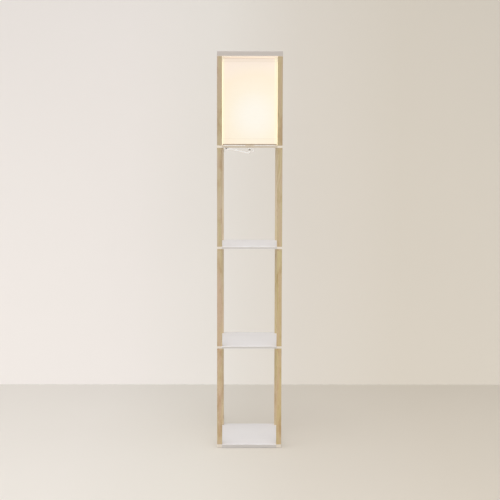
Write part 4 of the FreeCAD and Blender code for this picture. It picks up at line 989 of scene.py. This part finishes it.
def moulded_group():
    tree, given, result = new_group(
        "moulded_plastic", [("Vector", VECTOR)], [("Grain", VALUE), ("Dirt", VALUE)]
    )
    vector = given.outputs["Vector"]
    tree.links.new(noise(tree, vector, 3200, 2.0), result.inputs["Grain"])
    tree.links.new(noise(tree, vector, 45, 4.0, 0.6), result.inputs["Dirt"])
    return tree


def bounce_group():
    """Painted light, for light thrown up by the pale boards: it reaches what hangs within 35 mm under the lamp
    shelf.
    """
    tree, given, result = new_group("bounced_light", [("Vector", VECTOR)], [("Amount", VALUE)])
    height = add(tree, "ShaderNodeSeparateXYZ", {0: given.outputs["Vector"]}).outputs[2]
    above = maths(tree, "MULTIPLY_ADD", height, 1 / 0.012, -1.183 / 0.012, clamp=True)
    below = maths(tree, "LESS_THAN", height, 1.2180)
    tree.links.new(maths(tree, "MULTIPLY", above, below), result.inputs["Amount"])
    return tree


turned_metal = turned_group()
moulded_plastic = moulded_group()
bounced_light = bounce_group()


def add_bounce(tree, shader, place, strength):
    """The surface's own colour glows: painted bounced light."""
    amount = use_group(tree, bounced_light, Vector=place)["Amount"]
    colour = shader.inputs["Base Color"].links[0].from_socket
    tree.links.new(colour, shader.inputs["Emission Color"])
    tree.links.new(maths(tree, "MULTIPLY", amount, strength), shader.inputs["Emission Strength"])


def metal_material(name, bright, dull, roughness, metallic=1.0, bounce=0.0):
    material, tree, place, shader = new_material(name)
    metal = use_group(tree, turned_metal, Vector=place)
    tree.links.new(
        ramp(tree, metal["Stain"], (0.35, bright), (0.75, dull)), shader.inputs["Base Color"]
    )
    shader.inputs["Metallic"].default_value = metallic
    rough = maths(tree, "MULTIPLY_ADD", metal["Rings"], 0.22, roughness)
    tree.links.new(rough, shader.inputs["Roughness"])
    bump(tree, shader, metal["Rings"], 0.00002)
    add_bounce(tree, shader, place, bounce)
    return material


def plastic_material(name, clean, worn, roughness, relief=0.00003, bounce=0.0):
    material, tree, place, shader = new_material(name)
    plastic = use_group(tree, moulded_plastic, Vector=place)
    tree.links.new(
        ramp(tree, plastic["Dirt"], (0.40, clean), (0.80, worn)), shader.inputs["Base Color"]
    )
    rough = maths(tree, "MULTIPLY_ADD", plastic["Dirt"], 0.18, roughness)
    tree.links.new(rough, shader.inputs["Roughness"])
    bump(tree, shader, plastic["Grain"], relief)
    add_bounce(tree, shader, place, bounce)
    return material


# Materials given a bounce amount glow with painted light under the lamp shelf.
zinc = metal_material("zinc_steel", linear(205, 206, 208), linear(176, 177, 180), 0.24)
brass = metal_material("satin_brass", linear(214, 182, 118), linear(188, 152, 92), 0.24)
pale_brass = metal_material(
    "pale_brass", linear(238, 230, 214), linear(222, 212, 194), 0.30, metallic=0.3
)
nickel = metal_material(
    "nickel_plate", linear(252, 251, 249), linear(236, 234, 230), 0.30, metallic=0.15, bounce=0.35
)
aluminium = metal_material("plain_aluminium", linear(214, 214, 216), linear(190, 190, 192), 0.30)
white_wire = metal_material(
    "white_enamel", linear(232, 228, 221), linear(214, 208, 198), 0.30, metallic=0.0
)
cord_white = plastic_material("cord_white", linear(255, 254, 252), linear(248, 246, 242), 0.42, bounce=0.26)
clip_white = plastic_material("clip_white", linear(234, 231, 226), linear(220, 214, 206), 0.38)
relief_grey = plastic_material("relief_grey", linear(166, 157, 142), linear(146, 137, 122), 0.45, bounce=0.12)
holder_dark = plastic_material("holder_dark", linear(60, 56, 54), linear(44, 41, 40), 0.40)
liner_brown = plastic_material("liner_card", linear(104, 80, 60), linear(82, 62, 46), 0.80)
rubber_grey = plastic_material("pad_rubber", linear(98, 94, 90), linear(78, 75, 72), 0.80, 0.00008)
bulb_white = plastic_material("bulb_plastic", linear(240, 239, 235), linear(226, 224, 218), 0.30)
print("metals and plastics")

# %% Material: the cord clip under the lamp shelf
def shaded_clip_material():
    """A pale moulded clip whose upper part, against the shelf, is painted dark: painted shade under the shelf.
    """
    material, tree, place, shader = new_material("clip_with_painted_shade")
    plastic = use_group(tree, moulded_plastic, Vector=place)
    pale = ramp(tree, plastic["Dirt"], (0.40, linear(244, 242, 238)), (0.80, linear(232, 228, 222)))
    dark = ramp(tree, plastic["Dirt"], (0.40, linear(92, 78, 66)), (0.80, linear(72, 60, 50)))
    height = add(tree, "ShaderNodeSeparateXYZ", {0: place}).outputs[2]
    # Painted shade: the clip's upper part, against the shelf, is painted dark.
    in_painted_shade = maths(tree, "GREATER_THAN", height, 1.2142)
    tree.links.new(mix(tree, in_painted_shade, pale, dark), shader.inputs["Base Color"])
    add_bounce(tree, shader, place, 0.2)
    tree.links.new(maths(tree, "MULTIPLY_ADD", in_painted_shade, 0.2, 0.42), shader.inputs["Roughness"])
    bump(tree, shader, plastic["Grain"], 0.00003)
    return material


clip_in_shade = shaded_clip_material()
print(clip_in_shade.name)

# %% Material: the bulb's frosted glass, lit
def globe_material():
    """Frosted glass that glows warm, a little uneven from the coating inside."""
    material, tree, place, shader = new_material("frosted_globe")
    coat = noise(tree, place, 140, 3.0)
    colour = ramp(tree, coat, (0.3, linear(255, 246, 226)), (0.7, linear(255, 238, 208)))
    tree.links.new(colour, shader.inputs["Base Color"])
    tree.links.new(colour, shader.inputs["Emission Color"])
    shader.inputs["Emission Strength"].default_value = 3.0
    shader.inputs["Roughness"].default_value = 0.5
    bump(tree, shader, coat, 0.00004)
    return material


frosted_globe = globe_material()
print(frosted_globe.name)

# %% [markdown]
# ### Which piece wears what
#
# Each record slot has one material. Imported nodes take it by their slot, new pieces by name.

# %% Dress every node and piece
by_slot = {
    "post_wood": post_oak,
    "top_board_wood": top_white,
    "board_laminate": shelf_white,
    "zinc_steel": zinc,
    "insert_brass": brass,
    "pad_rubber": rubber_grey,
    "fitting_steel": nickel,
    "lampholder_brass": pale_brass,
    "liner_card": liner_brown,
    "holder_plastic": holder_dark,
    "shell_aluminium": aluminium,
    "chain_steel": nickel,
    "frosted_glass": frosted_globe,
    "bulb_plastic": bulb_white,
    "shade_fabric": lit_linen,
    "frame_wire": white_wire,
    "relief_plastic": relief_grey,
    "cord_jacket": cord_white,
    "clip_plastic": clip_white,
    "dark_clip_plastic": clip_in_shade,
    "plug_plastic": clip_white,
}


def dress(piece, material):
    piece.data.materials.clear()
    piece.data.materials.append(material)


for part in frame["record"]["subparts"]:
    dress(nodes[part["node"]], by_slot[part["material_slot"]])
dress(nodes["lamp_shelf"], lamp_shelf_white)
for piece in (cord, shade, relief, chain, bell, globe, bulb_base, plug, tie):
    dress(piece, by_slot[piece["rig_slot"]])
print(f"{len(by_slot)} materials")

# %% [markdown]
# ## Floor, wall and light
#
# The floor meets the wall 0.79 m behind the lamp. Light from the left is painted into the colours
# of floor and wall: they fall off to the right, and the wall is a little lighter below the middle.

# %% Floor and wall
WALL_Y = 0.789
ROOM_HALF = 6.0


def backdrop_material(name, stops, body, seen_low, seen_high):
    """A matt surface whose colour changes along X: painted light that falls off away from the left. The
    body share scatters the room's light. The rest glows for eyes and mirrors alone, from seen_low at
    the floor to seen_high 2.2 m up. Seen from behind, the surface is clear, so the lamp can be looked
    at from every side."""
    material, tree, place, shader = new_material(name)
    parts = add(tree, "ShaderNodeSeparateXYZ", {0: place}).outputs
    # Painted light: the colour falls off from left to right.
    share = maths(tree, "MULTIPLY_ADD", parts[0], 0.5, 0.5, clamp=True)
    fine = noise(tree, place, 3.0, 3.0)
    colour = mix(tree, maths(tree, "MULTIPLY", fine, 0.04), ramp(tree, share, *stops), linear(206, 198, 188))
    scattered = mix(tree, 1.0, colour, (body, body, body, 1.0), blend="MULTIPLY")
    tree.links.new(scattered, shader.inputs["Base Color"])
    shader.inputs["Roughness"].default_value = 0.9
    shader.inputs["Specular IOR Level"].default_value = 0.1
    path = add(tree, "ShaderNodeLightPath").outputs
    mirrored = maths(tree, "ADD", path["Is Glossy Ray"], path["Is Transmission Ray"])
    seen = maths(tree, "ADD", path["Is Camera Ray"], mirrored, clamp=True)
    up = maths(tree, "DIVIDE", parts[2], 2.2, clamp=True)
    strength = maths(tree, "MULTIPLY_ADD", up, seen_high - seen_low, seen_low)
    tree.links.new(colour, shader.inputs["Emission Color"])
    tree.links.new(maths(tree, "MULTIPLY", seen, strength), shader.inputs["Emission Strength"])

    from_behind = add(tree, "ShaderNodeNewGeometry").outputs["Backfacing"]
    clear = add(tree, "ShaderNodeBsdfTransparent").outputs[0]
    one_sided = add(tree, "ShaderNodeMixShader", {0: from_behind, 1: shader.outputs[0], 2: clear})
    tree.links.new(one_sided.outputs[0], tree.nodes["Material Output"].inputs["Surface"])
    return material


def flat_panel(name, corners, material):
    """One four-sided face of the room."""
    mesh = bpy.data.meshes.new(name)
    mesh.from_pydata(corners, [], [(0, 1, 2, 3)])
    panel = bpy.data.objects.new(name, mesh)
    scene.collection.objects.link(panel)
    dress(panel, material)
    return panel


floor_stops = (
    (0.15, linear(235, 229, 221)),
    (0.40, linear(231, 225, 215)),
    (0.60, linear(224, 216, 204)),
    (0.90, linear(220, 211, 197)),
)
wall_stops = (
    (0.20, linear(232, 226, 221)),
    (0.42, linear(229, 224, 217)),
    (0.62, linear(221, 214, 204)),
    (0.88, linear(216, 208, 195)),
)
floor = flat_panel(
    "room_floor",
    [(-ROOM_HALF, -ROOM_HALF, 0), (ROOM_HALF, -ROOM_HALF, 0), (ROOM_HALF, WALL_Y, 0), (-ROOM_HALF, WALL_Y, 0)],
    backdrop_material("room_floor", floor_stops, 0.72, 0.31, 0.31),
)
wall = flat_panel(
    "room_wall",
    [(-ROOM_HALF, WALL_Y, 0), (ROOM_HALF, WALL_Y, 0), (ROOM_HALF, WALL_Y, 5), (-ROOM_HALF, WALL_Y, 5)],
    backdrop_material("room_wall", wall_stops, 0.60, 0.57, 0.32),
)
print("floor and wall")

# %% Lights and world
def area_light(name, place, target, width, height, power, colour):
    """A soft rectangular lamp that faces its target."""
    data = bpy.data.lights.new(name, "AREA")
    data.shape = "RECTANGLE"
    data.size, data.size_y = width, height
    data.energy = power
    data.color = colour
    lamp = bpy.data.objects.new(name, data)
    lamp.location = place
    lamp.rotation_euler = (Vector(target) - Vector(place)).to_track_quat("-Z", "Y").to_euler()
    scene.collection.objects.link(lamp)
    return lamp


area_light("key_left", (-2.6, -2.0, 3.8), (0, 0, 0.8), 1.6, 1.6, 16, (1.0, 1.0, 1.0))
area_light("window_left", (-2.8, -0.9, 0.9), (0, 0, 0.4), 0.8, 0.8, 7, (1.0, 1.0, 1.0))
area_light("overhead_front", (0.3, -2.8, 3.6), (0, 0, 0.4), 3.6, 3.0, 46, (1.0, 1.0, 1.0))
area_light("fill_low", (0.2, -4.2, 0.8), (0, 0, 1.1), 3.0, 1.4, 9, (1.0, 1.0, 1.0))

world = bpy.data.worlds.new("room")
scene.world = world
world.use_nodes = True
tree = world.node_tree
sky = tree.nodes["Background"]
sky.inputs["Color"].default_value = linear(252, 253, 255)
sky.inputs["Strength"].default_value = 0.84
scene.view_settings.view_transform = "Standard"
print("four soft lamps and a pale room")

# %% [markdown]
# ## Finish

# The dressed lamp has to stay the size of the imported model.

# %% Bring the scene up to date
bpy.context.view_layer.update()
